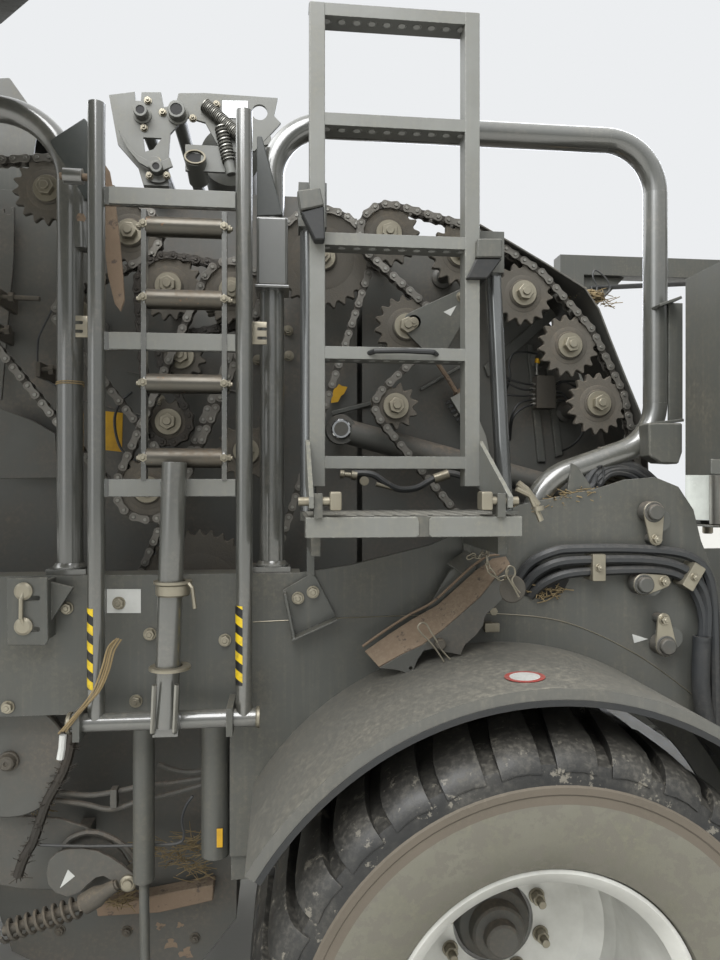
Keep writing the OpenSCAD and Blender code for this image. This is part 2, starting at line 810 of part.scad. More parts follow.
module tailgate_sprockets() {
    color(dusty) both_sides() {
        sprocket_set(gate_drive, chain_y);
        shafts([for (i = [0 : len(gate_drive) - 2]) gate_drive[i]], wall_y + 18, chain_y + 26);
        disc([gate_idlers[1][0], gate_idlers[1][1]], 22, -chain_y - 26, 60);
        plate([
            [307, 2312], [395, 2300], [356, 2072], [282, 2082]
        ], -chain_y + 26, 14);
        disc([gate_idlers[0][0], gate_idlers[0][1]], 45, -chain_y + 26, 14);
        disc([gate_idlers[1][0], gate_idlers[1][1]], 38, -chain_y + 26, 14);
    }
}

module tailgate_chains() {
    color(worn) both_sides() chain(gate_drive, chain_y);
}

// Tailgate cylinders: a barrel on the wall, and a rod that ends at the tailgate.
cylinder_v = cylinder_eye - cylinder_base;
cylinder_u = cylinder_v / norm(cylinder_v);
function along(d) = cylinder_base + cylinder_u * d;

module barrel() {
    a = along(30);
    b = along(norm(cylinder_v) - 90);
    color(steel) difference() {
        union() {
            rod([a[0], -cylinder_y, a[1]], [b[0], -cylinder_y, b[1]], 76);
            disc(cylinder_base, 45, -cylinder_y - 30, 60);
        }
        c = along(80);
        d = along(norm(cylinder_v));
        rod([c[0], -cylinder_y, c[1]], [d[0], -cylinder_y, d[1]], 44);
        disc(cylinder_base, 21, -cylinder_y - 40, 80);
    }
}

module cylinder_rod() {
    a = along(84);
    b = along(norm(cylinder_v) - 20);
    color(worn) {
        rod([a[0], -cylinder_y, a[1]], [b[0], -cylinder_y, b[1]], 40);
        disc(cylinder_eye, 40, -cylinder_y - 28, 56);
        disc(cylinder_eye, 24, -cylinder_y - 40, 20);
    }
}

// Side hoods, open as in the photo
module hood() {
    color(steel)
        translate([0, hood_hinge[0], hood_hinge[1]])
            rotate([-hood_open, 0, 0]) {
                translate([0, -40, 0]) rotate([90, 0, 0]) linear_extrude(24) polygon([
                    [-1980, 20], [-740, 20], [-500, -420], [-500, -hood_depth], [-1880, -hood_depth],
                    [-1980, -hood_depth + 160]
                ]);
                rod([-1900, 0, 0], [-760, 0, 0], 34);
                for (x = [-1850, -1480, -1010]) box([x, x + 30], [-45, 0], [-16, 16]);
            }
}

side_frames();
rear_frame();
drawbar();
bogie_beams();
fenders();
chamber_walls();
chamber_rollers();
front_sprockets();
front_chains();
gearbox();
front_cover();
net_unit();
guard_hoops();
platform();
film_boxes();
wrap_mast();
lamp_bar();
lamps();
feeder_housing();
lift_gear();
wheel_chock();
at_wheel(axle_x1, -1) tyre_shape();  // tyre_fl
at_wheel(axle_x1, -1) rim_shape();  // rim_fl
at_wheel(axle_x1, 1) tyre_shape();  // tyre_fr
at_wheel(axle_x1, 1) rim_shape();  // rim_fr
at_wheel(axle_x2, -1) tyre_shape();  // tyre_rl
at_wheel(axle_x2, -1) rim_shape();  // rim_rl
at_wheel(axle_x2, 1) tyre_shape();  // tyre_rr
at_wheel(axle_x2, 1) rim_shape();  // rim_rr
jack();
tailgate();
tailgate_rollers();
tailgate_sprockets();
tailgate_chains();
barrel();  // barrel_left
cylinder_rod();  // rod_left
mirror([0, 1, 0]) barrel();  // barrel_right
mirror([0, 1, 0]) cylinder_rod();  // rod_right
hood();  // hood_left
mirror([0, 1, 0]) hood();  // hood_right
ladder();
roll_lift();
pickup_frame();
pickup_reel();
gauge_wheel(-1);  // gauge_wheel_left
gauge_wheel(1);  // gauge_wheel_right
feed_rotor();
wrap_table();
table_belts();
wrap_arm();
film_rolls();
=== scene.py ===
"""Looks of a trailed round baler with a bale wrapper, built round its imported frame.

X runs to the machine's rear, Y to its right and Z up. Places in the code are in millimetres.
"""

import math
import random

import bmesh
import bpy
from mathutils import Matrix, Vector, noise


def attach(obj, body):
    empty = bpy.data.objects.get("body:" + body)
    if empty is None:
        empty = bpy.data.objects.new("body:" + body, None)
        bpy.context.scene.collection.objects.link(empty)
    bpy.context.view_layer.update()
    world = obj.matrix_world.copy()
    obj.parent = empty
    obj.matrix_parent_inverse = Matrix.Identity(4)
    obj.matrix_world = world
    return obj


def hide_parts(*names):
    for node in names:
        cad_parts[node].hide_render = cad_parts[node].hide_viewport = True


bl_info = {
    "name": "Round baler looks",
    "version": (1, 0, 0),
    "blender": (4, 5, 0),
    "location": "View3D > Sidebar > Baler",
    "description": "Chains, sprockets, tyres, hoses, fittings and finishes of a round baler",
    "category": "Object",
}

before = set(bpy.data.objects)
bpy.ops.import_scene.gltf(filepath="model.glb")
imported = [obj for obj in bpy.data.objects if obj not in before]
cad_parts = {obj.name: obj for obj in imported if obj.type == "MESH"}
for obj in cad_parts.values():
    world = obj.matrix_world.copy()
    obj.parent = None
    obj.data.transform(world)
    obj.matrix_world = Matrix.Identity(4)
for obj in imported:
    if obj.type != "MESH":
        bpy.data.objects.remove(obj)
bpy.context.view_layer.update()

AHEAD, BACK = (-1, 0, 0), (1, 0, 0)
LEFT, RIGHT = (0, -1, 0), (0, 1, 0)
DOWN, UP = (0, 0, -1), (0, 0, 1)

# Places shared with the part's source: the axles, the tyres' middle and the fenders' radius
AXLES = (570, 2000)
AXLE_Z = 655
TYRE_Y = 1135
FENDER = 766
REAR = 3800
# The tailgate's row of sprockets: centre x, z and radius, then their angles round it
RING = (235, 1840, 735)
GATE_ANGLES = (85, 68, 51, 35, 20, 3, -14, -31)
# How far the chains' planes and the chamber's wall stand from the machine's middle
OUTER, MIDDLE, INNER, GATE = 905, 855, 805, 893
WALL = 634

# Each drive lists x, z, pitch radius, teeth, and 1 inside the chain's loop or -1 outside it
FEED_DRIVE = (
    (-433, 2561, 84, 16, 1),
    (-656, 2674, 88, 17, 1),
    (-1000, 2640, 88, 17, 1),
    (-375, 1838, 84, 16, 1),
    (-575, 2330, 60, 11, -1),
)
NET_DRIVE = (
    (-144, 2391, 84, 16, 1),
    (-326, 2414, 88, 17, 1),
    (-326, 2029, 60, 11, 1),
    (-291, 2216, 62, 12, -1),
)
LINK_DRIVE = ((-144, 2391, 84, 16, 1), (-375, 1838, 84, 16, 1))
CHAMBER_DRIVE = ((114, 2525, 143, 28, 1), (-245, 1533, 178, 34, 1))
SPARE_DRIVE = ((-108, 1947, 78, 15, 1),)
GATE_IDLERS = ((351, 2306, 84, 16, -1), (319, 2077, 60, 11, 1))


# Small helpers for making shapes

def clear():
    """Leaves edit mode and deselects everything."""
    if bpy.context.object and bpy.context.object.mode != "OBJECT":
        bpy.ops.object.mode_set(mode="OBJECT")
    bpy.ops.object.select_all(action="DESELECT")


def pick(*pieces):
    """Selects only these pieces, the first one active."""
    clear()
    for piece in pieces:
        piece.select_set(True)
    bpy.context.view_layer.objects.active = pieces[0]


def face_outwards():
    """Turns the faces of the active piece outwards, in edit mode, and leaves edit mode."""
    bpy.ops.mesh.select_all(action="SELECT")
    bpy.ops.mesh.normals_make_consistent(inside=False)
    bpy.ops.object.mode_set(mode="OBJECT")


def settle(name):
    """Names the active piece and moves its place into its mesh."""
    bpy.ops.object.transform_apply(location=True, rotation=True, scale=True)
    piece = bpy.context.object
    piece.name = name
    piece.data.name = name
    return piece


def modify(piece, kind, **settings):
    """Adds one modifier and applies it."""
    pick(piece)
    made = piece.modifiers.new(kind.lower(), kind)
    for key, value in settings.items():
        setattr(made, key, value)
    bpy.ops.object.modifier_apply(modifier=made.name)
    return piece


def soften(piece, width, steps=2, angle=32):
    """Breaks the sharp edges, then shades the rest smooth."""
    if width:
        modify(
            piece, "BEVEL", width=width / 1000, segments=steps, limit_method="ANGLE",
            angle_limit=math.radians(angle),
        )
    pick(piece)
    bpy.ops.object.shade_smooth_by_angle(angle=math.radians(angle))
    if width:
        modify(piece, "WEIGHTED_NORMAL", keep_sharp=True, weight=90)
    return piece


def facing(direction):
    """Turns +Z to a direction."""
    return Vector(direction).to_track_quat("Z", "Y").to_matrix().to_4x4()


def at(place, direction=UP, spin=0.0, scale=1.0):
    """Place and turn of a copy: its +Z along direction, spun about it in degrees."""
    return (
        Matrix.Translation(Vector(place) / 1000)
        @ facing(direction)
        @ Matrix.Rotation(math.radians(spin), 4, "Z")
        @ Matrix.Scale(scale, 4)
    )


def outline(points):
    """A flat face whose corners are points (x, z), drawn in the plane of the machine's side."""
    clear()
    bpy.ops.mesh.primitive_circle_add(vertices=len(points), radius=1, fill_type="NGON")
    piece = bpy.context.object
    for vertex, (x, z) in zip(piece.data.vertices, points):
        vertex.co = (x / 1000, 0, z / 1000)
    return piece


def plate(name, points, y, thick, edge=1.2, steps=1):
    """A plate cut to an outline, from the plane y towards positive Y."""
    piece = outline(points)
    bpy.ops.object.mode_set(mode="EDIT")
    bpy.ops.mesh.select_all(action="SELECT")
    bpy.ops.transform.translate(value=(0, y / 1000, 0))
    bpy.ops.mesh.extrude_region_move(TRANSFORM_OT_translate={"value": (0, thick / 1000, 0)})
    face_outwards()
    piece = settle(name)
    return soften(piece, edge, steps)


def block(name, low, high, edge=2.0, steps=2):
    """A block between two corners with rounded edges."""
    clear()
    middle = [(a + b) / 2000 for a, b in zip(low, high)]
    bpy.ops.mesh.primitive_cube_add(size=1, location=middle)
    bpy.context.object.scale = [abs(b - a) / 1000 for a, b in zip(low, high)]
    piece = settle(name)
    return soften(piece, edge, steps)


def turned(name, profile, place=(0, 0, 0), direction=UP, sides=32, angle=30):
    """A turned piece: a closed profile of (radius, height) spun about its axis."""
    clear()
    bpy.ops.mesh.primitive_circle_add(vertices=len(profile), radius=1, fill_type="NOTHING")
    piece = bpy.context.object
    for vertex, (radius, height) in zip(piece.data.vertices, profile):
        vertex.co = (radius / 1000, 0, height / 1000)
    bpy.ops.object.mode_set(mode="EDIT")
    bpy.ops.mesh.select_all(action="SELECT")
    bpy.ops.mesh.spin(steps=sides, angle=math.tau, center=(0, 0, 0), axis=UP)
    bpy.ops.mesh.select_all(action="SELECT")
    bpy.ops.mesh.remove_doubles(threshold=0.00002)
    face_outwards()
    piece.matrix_world = at(place, direction)
    piece = settle(name)
    return soften(piece, 0, angle=angle)


def disc(radius, high):
    """Profile of a plain round disc or pin, for turned."""
    return [(0, 0), (radius, 0), (radius, high), (0, high)]


def curved(points, steps=6):
    """Points of a smooth line through the given ones."""
    found = []
    points = [Vector(p) for p in points]
    for i in range(len(points) - 1):
        a = points[max(i - 1, 0)]
        b = points[i]
        c = points[i + 1]
        d = points[min(i + 2, len(points) - 1)]
        for k in range(steps):
            t = k / steps
            found.append(0.5 * (
                2 * b + (c - a) * t
                + (2 * a - 5 * b + 4 * c - d) * t * t
                + (3 * b - a - 3 * c + d) * t * t * t
            ))
    found.append(points[-1])
    return found


def tube(name, points, diameter, sides=12, smooth=0, closed=False):
    """A round bar, tube or hose along a line of points."""
    return tubes(name, [curved(points, smooth) if smooth else points], diameter, sides, closed)


def tubes(name, runs, diameter, sides=12, closed=False):
    """Several tubes of one thickness in one piece."""
    clear()
    line = bpy.data.curves.new(name, "CURVE")
    line.dimensions = "3D"
    line.bevel_depth = diameter / 2000
    line.bevel_resolution = max(1, sides // 4 - 1)
    line.use_fill_caps = True
    for points in runs:
        run = line.splines.new("POLY")
        run.points.add(len(points) - 1)
        for point, place in zip(run.points, points):
            point.co = (*(Vector(place) / 1000), 1)
        run.use_cyclic_u = closed
    piece = bpy.data.objects.new(name, line)
    bpy.context.scene.collection.objects.link(piece)
    pick(piece)
    bpy.ops.object.convert(target="MESH")
    return soften(bpy.context.object, 0, angle=40)


def bent(corners, radius, steps=6):
    """Points of a tube's middle line through corners, rounded to one bend radius."""
    corners = [Vector(c) for c in corners]
    found = [corners[0]]
    for a, b, c in zip(corners, corners[1:], corners[2:]):
        back = (a - b).normalized()
        on = (c - b).normalized()
        half = back.angle(on) / 2
        reach = radius / math.tan(half)
        middle = b + (back + on).normalized() * (radius / math.sin(half))
        start = b + back * reach - middle
        end = b + on * reach - middle
        found += [middle + start.slerp(end, k / steps) for k in range(steps + 1)]
    found.append(corners[-1])
    return found


def spring(name, a, b, radius, wire, turns, per_turn=14):
    """A coil spring between two points."""
    a = Vector(a)
    b = Vector(b)
    turn = facing(b - a).to_3x3()
    length = (b - a).length
    count = int(turns * per_turn)
    points = []
    for i in range(count + 1):
        angle = math.tau * i / per_turn
        offset = Vector((radius * math.cos(angle), radius * math.sin(angle), length * i / count))
        points.append(a + turn @ offset)
    return tube(name, points, wire, sides=8)


def copies(name, model, places):
    """One piece out of copies of a model, each with its own mesh."""
    grown = bmesh.new()
    for place in places:
        first = len(grown.verts)
        grown.from_mesh(model.data)
        grown.verts.ensure_lookup_table()
        bmesh.ops.transform(grown, matrix=place, verts=grown.verts[first:])
    mesh = bpy.data.meshes.new(name)
    grown.to_mesh(mesh)
    grown.free()
    for material in model.data.materials:
        mesh.materials.append(material)
    piece = bpy.data.objects.new(name, mesh)
    bpy.context.scene.collection.objects.link(piece)
    return piece


def drop(*models):
    """Removes models that were only there to be copied."""
    for model in models:
        bpy.data.objects.remove(model)


def joined(name, pieces):
    """Joins pieces into one with a name of its own."""
    pick(*pieces)
    bpy.ops.object.join()
    piece = bpy.context.object
    piece.name = name
    piece.data.name = name
    return piece


def both(piece):
    """Adds the same piece on the machine's other side."""
    return modify(piece, "MIRROR", use_axis=(False, True, False), use_mirror_merge=False)


def cut(piece, *tools):
    """Cuts the shapes of other pieces out of a piece, and drops them."""
    for tool in tools:
        modify(piece, "BOOLEAN", operation="DIFFERENCE", object=tool, solver="EXACT")
        drop(tool)
    return soften(piece, 0)


def dress(piece, finish, body="machine", stands_for=()):
    """Gives a piece its finish, the body it moves with and the nodes it stands for."""
    piece.data.materials.clear()
    piece.data.materials.append(FINISHES[finish])
    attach(piece, body)
    if stands_for:
        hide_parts(*stands_for)
    return piece


def fit(name, pieces, finish, body="machine"):
    """Joins pieces into one and dresses it."""
    return dress(joined(name, pieces), finish, body)


def fit_both(name, pieces, finish, body="machine"):
    """Joins pieces into one on each side of the machine and dresses it."""
    return dress(both(joined(name, pieces)), finish, body)


# Places read from the photo's 720 by 960 frame

CAMERA = (0, -2960, 1850)
YAW = math.radians(6)
FOCAL = 722.0
HORIZON = 485.0
# The same focal length and horizon as the camera's lens takes them
LENS = 27.08
LENS_SHIFT = 0.0052


def seen(pixel, y):
    """The place on a plane of constant y, in millimetres, that shows at a pixel."""
    u, v = pixel
    reach = y - CAMERA[1]
    t = (u - 360.0) / FOCAL
    dx = reach * (t * math.cos(YAW) + math.sin(YAW)) / (math.cos(YAW) - t * math.sin(YAW))
    depth = dx * math.sin(YAW) + reach * math.cos(YAW)
    return Vector((dx, y, CAMERA[2] - (v - HORIZON) * depth / FOCAL))


def flat(pixels, y):
    """Outline corners (x, z) of pixels on one plane."""
    places = [seen(pixel, y) for pixel in pixels]
    return [(place.x, place.z) for place in places]


def line(pixels, y):
    """Points of a line of pixels on one plane, or each on its own plane when y is a list."""
    planes = y if isinstance(y, (list, tuple)) else [y] * len(pixels)
    return [seen(pixel, plane) for pixel, plane in zip(pixels, planes)]


def strip(name, one, two, thick, edge=0.6):
    """A bent sheet between two lines of points, given a thickness."""
    clear()
    bpy.ops.mesh.primitive_grid_add(x_subdivisions=len(one) - 1, y_subdivisions=1, size=1)
    piece = bpy.context.object
    for vertex, place in zip(piece.data.vertices, list(one) + list(two)):
        vertex.co = Vector(place) / 1000
    modify(piece, "SOLIDIFY", thickness=thick / 1000, offset=0)
    piece.name = name
    return soften(piece, edge, 1)


def bolts(name, model, places, direction=LEFT):
    """Copies of one bolt at places, each turned a little differently."""
    return copies(name, model, [at(place, direction, i * 23 % 60) for i, place in enumerate(places)])


def scatter(name, places, reach, count, length, wire, seed):
    """Loose stalks of crop lying around places."""
    chance = random.Random(seed)
    stalks = []
    for k in range(count):
        middle = Vector(places[k % len(places)])
        middle += Vector([chance.uniform(-1, 1) * r for r in reach])
        turn = chance.uniform(0, math.tau)
        tilt = chance.uniform(-0.5, 0.5)
        half = length * chance.uniform(0.25, 0.6)
        on = Vector((math.cos(turn) * half, math.sin(turn) * half * 0.6, math.sin(tilt) * half))
        sag = Vector((0, 0, chance.uniform(-0.2, 0.2) * half))
        stalks.append([middle - on, middle + sag, middle + on])
    return tubes(name, stalks, wire, 4)


def clod(name, place, size, seed, shape=(1, 1, 1)):
    """A lump of packed crop and dust."""
    clear()
    bpy.ops.mesh.primitive_ico_sphere_add(subdivisions=4, radius=1)
    piece = bpy.context.object
    for vertex in piece.data.vertices:
        push = 1 + 0.28 * noise.fractal(vertex.co * 1.7 + Vector((seed, 0, 0)), 1.0, 2.0, 5)
        vertex.co = Vector([c * share for c, share in zip(vertex.co, shape)]) * push * size / 1000
    piece.location = Vector(place) / 1000
    return settle(name)


# Materials

FINISHES = {}


def linear(code):
    """An sRGB hex colour as linear values."""
    parts = [int(code[i:i + 2], 16) / 255 for i in (1, 3, 5)]
    return [p / 12.92 if p <= 0.04045 else ((p + 0.055) / 1.055) ** 2.4 for p in parts] + [1.0]


def node(tree, kind, sockets=None, **settings):
    """Adds a node, sets it up and links or fills its sockets."""
    made = tree.nodes.new("ShaderNode" + kind)
    for key, value in settings.items():
        setattr(made, key, value)
    for key, value in (sockets or {}).items():
        if isinstance(value, bpy.types.NodeSocket):
            tree.links.new(value, made.inputs[key])
        else:
            made.inputs[key].default_value = value
    return made


def new_material(name):
    """A material with its node tree and its shader."""
    material = bpy.data.materials.new(name)
    material.use_nodes = True
    tree = material.node_tree
    shader = tree.nodes["Principled BSDF"]
    return material, tree, shader


def weathered(name, base, dust, rough, metallic=0.0, dusty=0.5, wear=None, grain=900, bump=0.12,
              spots=None, edge=2.0, streaks=0.0, gloss=0.0):
    """A finish with settled dust on what faces up, painted shade on what faces down, blotches, rubbed edges
    and fine grain.
    """
    material, tree, shader = new_material(name)
    place = node(tree, "TexCoord").outputs["Object"]
    shape = node(tree, "NewGeometry")
    # Blotches some 150 mm wide, and finer ones of 12 mm
    wide = node(tree, "TexNoise", {"Vector": place, "Scale": 6.0, "Detail": 5.0, "Roughness": 0.6})
    fine = node(tree, "TexNoise", {"Vector": place, "Scale": 80.0, "Detail": 4.0, "Roughness": 0.65})
    up = node(tree, "SeparateXYZ", {0: shape.outputs["Normal"]}).outputs["Z"]
    lying = node(tree, "MapRange", {0: up, 1: 0.1, 2: 0.95, 3: 0.0, 4: 0.75}).outputs[0]
    patch = node(tree, "MapRange", {0: wide.outputs["Fac"], 1: 0.42, 2: 0.72, 3: 0.0, 4: 0.6}).outputs[0]
    speck = node(tree, "MapRange", {0: fine.outputs["Fac"], 1: 0.45, 2: 0.75, 3: 0.3, 4: 1.0}).outputs[0]
    cover = node(tree, "Math", {0: lying, 1: patch}, operation="ADD").outputs[0]
    if streaks:
        # Rain has drawn the dust into upright streaks some 12 mm wide and 300 mm long
        drawn = node(tree, "Mapping", {0: place, 3: (40.0, 40.0, 1.6)}).outputs[0]
        run = node(tree, "TexNoise", {"Vector": drawn, "Scale": 2.0, "Detail": 3.0}).outputs["Fac"]
        run = node(tree, "MapRange", {0: run, 1: 0.5, 2: 0.8, 3: 0.0, 4: streaks}).outputs[0]
        cover = node(tree, "Math", {0: cover, 1: run}, operation="ADD").outputs[0]
    cover = node(tree, "Math", {0: cover, 1: speck}, operation="MULTIPLY").outputs[0]
    cover = node(tree, "Math", {0: cover, 1: dusty}, operation="MULTIPLY", use_clamp=True).outputs[0]
    tint = node(
        tree, "Mix",
        {
            0: node(tree, "MapRange", {0: wide.outputs["Fac"], 1: 0.3, 2: 0.7}).outputs[0],
            6: linear(base), 7: [c * 0.72 for c in linear(base)[:3]] + [1.0],
        },
        data_type="RGBA",
    ).outputs[2]
    colour = node(tree, "Mix", {0: cover, 6: tint, 7: linear(dust)}, data_type="RGBA").outputs[2]
    # Painted shade: faces turned down are darkened to a fifth of the base colour, and no dust lies there
    painted_underside_shade = node(tree, "MapRange", {0: up, 1: -0.2, 2: -0.9, 3: 0.0, 4: 0.75}).outputs[0]
    colour = node(
        tree, "Mix", {0: painted_underside_shade, 6: colour, 7: [c * 0.2 for c in linear(base)[:3]] + [1.0]},
        data_type="RGBA",
    ).outputs[2]
    roughness = node(tree, "MapRange", {0: cover, 1: 0.0, 2: 0.7, 3: rough, 4: 0.88}).outputs[0]
    if spots:
        # Rust blooms some 35 mm wide where the coat has gone
        bloom = node(tree, "TexNoise", {"Vector": place, "Scale": 28.0, "Detail": 6.0, "Roughness": 0.7})
        there = node(
            tree, "MapRange", {0: bloom.outputs["Fac"], 1: 1 - spots[1], 2: 1.03 - spots[1]},
        ).outputs[0]
        colour = node(tree, "Mix", {0: there, 6: colour, 7: linear(spots[0])}, data_type="RGBA").outputs[2]
    if wear:
        # The coat is rubbed through along the edges
        rounded = node(tree, "Bevel", {"Radius": edge / 1000}, samples=4)
        turn = node(
            tree, "VectorMath", {0: rounded.outputs[0], 1: shape.outputs["True Normal"]},
            operation="DOT_PRODUCT",
        ).outputs["Value"]
        rubbed = node(tree, "MapRange", {0: turn, 1: 0.97, 2: 0.8, 3: 0.0, 4: 1.0}).outputs[0]
        broken = node(
            tree, "MapRange", {0: fine.outputs["Fac"], 1: 0.48, 2: 0.6, 3: 0.0, 4: 0.85},
        ).outputs[0]
        rubbed = node(tree, "Math", {0: rubbed, 1: broken}, operation="MULTIPLY", use_clamp=True).outputs[0]
        colour = node(tree, "Mix", {0: rubbed, 6: colour, 7: linear(wear)}, data_type="RGBA").outputs[2]
    height = node(tree, "TexNoise", {"Vector": place, "Scale": float(grain), "Detail": 2.0})
    rise = node(
        tree, "Math", {0: height.outputs["Fac"], 1: fine.outputs["Fac"]}, operation="ADD",
    ).outputs[0]
    relief = node(tree, "Bump", {"Strength": bump, "Distance": 0.001, "Height": rise})
    if wear:
        tree.links.new(rounded.outputs[0], relief.inputs["Normal"])
    tree.links.new(colour, shader.inputs["Base Color"])
    tree.links.new(roughness, shader.inputs["Roughness"])
    tree.links.new(relief.outputs[0], shader.inputs["Normal"])
    shader.inputs["Metallic"].default_value = metallic
    # Oil or wax over the finish
    shader.inputs["Coat Weight"].default_value = gloss
    shader.inputs["Coat IOR"].default_value = 1.9
    shader.inputs["Coat Roughness"].default_value = 0.16
    FINISHES[name] = material
    return material, tree, shader


def make_finishes():
    """All the weathered finishes and the tape."""
    look = bpy.context.scene.baler_colours
    # Powder-coated steel plate: satin anthracite, pale rubbed edges, field dust on top
    weathered("powder_coated_steel", look.paint, look.dust, 0.4, dusty=0.6, wear="#9a9c9b", streaks=0.4)
    # The coat painted paler as painted light, where it faces the open sky: ladder, platform edge, net plates
    weathered("painted_sky_light_coat", "#757672", "#98937f", 0.42, dusty=0.55, wear="#b9bab7", streaks=0.3)
    # The same coat on parts that crop has polished and dusted less
    weathered("coated_tube", "#4c4d49", "#8a8476", 0.3, dusty=0.6, wear="#aeb0b0", bump=0.06, gloss=1.0)
    # Sheet fender: the coat is scuffed matt by crop and stones
    weathered("scuffed_coat", "#5c5c58", "#8f8a7d", 0.5, dusty=0.75, streaks=0.35, grain=700)
    # Dirty walls and covers: coat under oily crop dust
    weathered("grimy_coat", "#53534f", "#87796a", 0.5, dusty=0.85, wear="#8f8d88", grain=500, bump=0.25)
    # The same coat painted darker, as painted shade, on parts in the lee of other parts; little dust lies
    # there
    weathered("shaded_coat", "#383c3a", "#6b675c", 0.35, dusty=0.3, wear="#6f716e", bump=0.06)
    # Bright drawn steel with a thin brown film: roller sleeves, rods in the open
    weathered("bare_steel", "#9b9a94", "#8b7d68", 0.3, metallic=0.9, spots=("#7b5f48", 0.32))
    # Rollers and rods that film rolls have rubbed, under a brown film
    weathered("rubbed_steel", "#5d5a53", "#7a6a57", 0.3, metallic=0.7, dusty=0.8, spots=("#7d604a", 0.36))
    # Galvanised grab rails, polished by hands
    weathered("hand_rail", "#8f9191", "#8d8a82", 0.16, metallic=0.85, dusty=0.3, bump=0.04)
    # Hard chrome on piston rods
    weathered("hard_chrome", "#c9cacb", "#8b8577", 0.12, metallic=1.0, dusty=0.15, bump=0.02)
    # Sprocket steel under oil that holds brown crop dust
    weathered("dusty_cast_steel", "#5c5851", "#837766", 0.7, metallic=0.3, dusty=0.95, grain=260, bump=0.8)
    # Zinc-plated nuts, dulled
    weathered("zinc_plate", "#9f9989", "#857860", 0.36, metallic=0.7, spots=("#7d5f46", 0.28))
    # Roller chain: oiled plates, polished by the guides
    weathered("oiled_chain_steel", "#807d77", "#544b40", 0.3, metallic=0.7, dusty=0.7, grain=400, bump=0.3)
    # Its inner links, dark with oil and crop, and painted darker still as painted shade in the gaps between
    # the outer plates
    weathered("inner_link_steel_and_shade", "#4a4742", "#443c32", 0.4, metallic=0.6, dusty=0.8, grain=400, bump=0.3)
    # Chain and sprockets that drown in grease and crop
    weathered(
        "greasy_chain_steel", "#33302c", "#5a5044", 0.35, metallic=0.35, dusty=0.9, grain=180, bump=1.0,
    )
    # Tread rubber: black, worn matt, with dry earth in it
    weathered(
        "tread_rubber", "#1d1e1f", "#77736a", 0.36, dusty=0.75, grain=300, bump=0.35,
        spots=("#6b675e", 0.4),
    )
    # Sidewall rubber: browned by ozone and road dust
    weathered(
        "sidewall_rubber", "#6f6d62", "#86836f", 0.7, dusty=0.9, grain=350, bump=0.35,
        spots=("#66635a", 0.5),
    )
    # The same rubber where it flexes: browner
    weathered("browned_rubber", "#625a4f", "#7c7466", 0.7, dusty=0.6, grain=350, bump=0.25)
    # Black that stands in for the shade inside bores and holes: painted shade
    weathered("bore_shade_black", "#0c0c0b", "#2a2724", 0.6, dusty=0.2, bump=0.1)
    # Silver rim enamel
    weathered("silver_enamel", look.rim, "#a39c8c", 0.35, metallic=0.25, dusty=0.3, bump=0.05)
    # Rusty plate with orange bloom
    weathered(
        "rusty_plate", "#867361", "#a2947f", 0.85, dusty=0.8, spots=("#5f544b", 0.42), grain=240, bump=0.8,
    )
    # Rubber hose, wrapped and dusty
    weathered("hose_rubber", "#36383a", "#77726a", 0.42, dusty=0.7, bump=0.2)
    # Black moulded plastic
    weathered("moulded_plastic", "#222426", "#5a554c", 0.45, dusty=0.4, bump=0.05)
    # Red lamp glass in its moulded case
    weathered("red_lens", "#9c1f16", "#6b4a3a", 0.2, dusty=0.25, bump=0.02)
    # Woven rubber belts, polished by the bale
    weathered("belt_rubber", "#222321", "#5c564a", 0.55, grain=260, bump=0.5)
    # Stretch film wound on its roll: milky, glossy
    weathered("stretch_film", "#dfe3dc", "#b9b7ab", 0.25, dusty=0.25, bump=0.1)
    # Blank white, red and yellow vinyl
    weathered("white_vinyl", "#cfd0cc", "#8f8a80", 0.4, dusty=0.45, bump=0.03)
    weathered("red_vinyl", "#a8332c", "#8f8a80", 0.4, bump=0.03)
    weathered("yellow_vinyl", "#d6a516", "#6a4a2c", 0.45, dusty=0.8, bump=0.03)
    # Dry crop and twine
    weathered("dry_crop", "#93815f", "#6d5d45", 0.9, grain=700, bump=0.5)
    make_tape()


def make_tape():
    """Yellow and black hazard tape, its bands 22 mm high and leaning."""
    material, tree, shader = new_material("hazard_tape")
    place = node(tree, "TexCoord").outputs["Object"]
    parts = node(tree, "SeparateXYZ", {0: place})
    lean = node(tree, "Math", {0: parts.outputs["X"], 1: 0.6, 2: parts.outputs["Z"]},
                operation="MULTIPLY_ADD").outputs[0]
    count = node(tree, "Math", {0: lean, 1: 22.0}, operation="MULTIPLY").outputs[0]
    part = node(tree, "Math", {0: count}, operation="FRACT").outputs[0]
    side = node(tree, "Math", {0: part, 1: 0.5}, operation="GREATER_THAN").outputs[0]
    grime = node(tree, "TexNoise", {"Vector": place, "Scale": 60.0, "Detail": 4.0}).outputs["Fac"]
    grime = node(tree, "MapRange", {0: grime, 1: 0.5, 2: 0.8, 3: 0.0, 4: 0.6}).outputs[0]
    colour = node(
        tree, "Mix", {0: side, 6: linear("#16171a"), 7: linear("#d8b91c")}, data_type="RGBA",
    ).outputs[2]
    colour = node(tree, "Mix", {0: grime, 6: colour, 7: linear("#4f4a40")}, data_type="RGBA").outputs[2]
    tree.links.new(colour, shader.inputs["Base Color"])
    shader.inputs["Roughness"].default_value = 0.45
    FINISHES["hazard_tape"] = material


# Chains and sprockets

# How far a sprocket's boss stands out from its middle plane
BOSS = 16


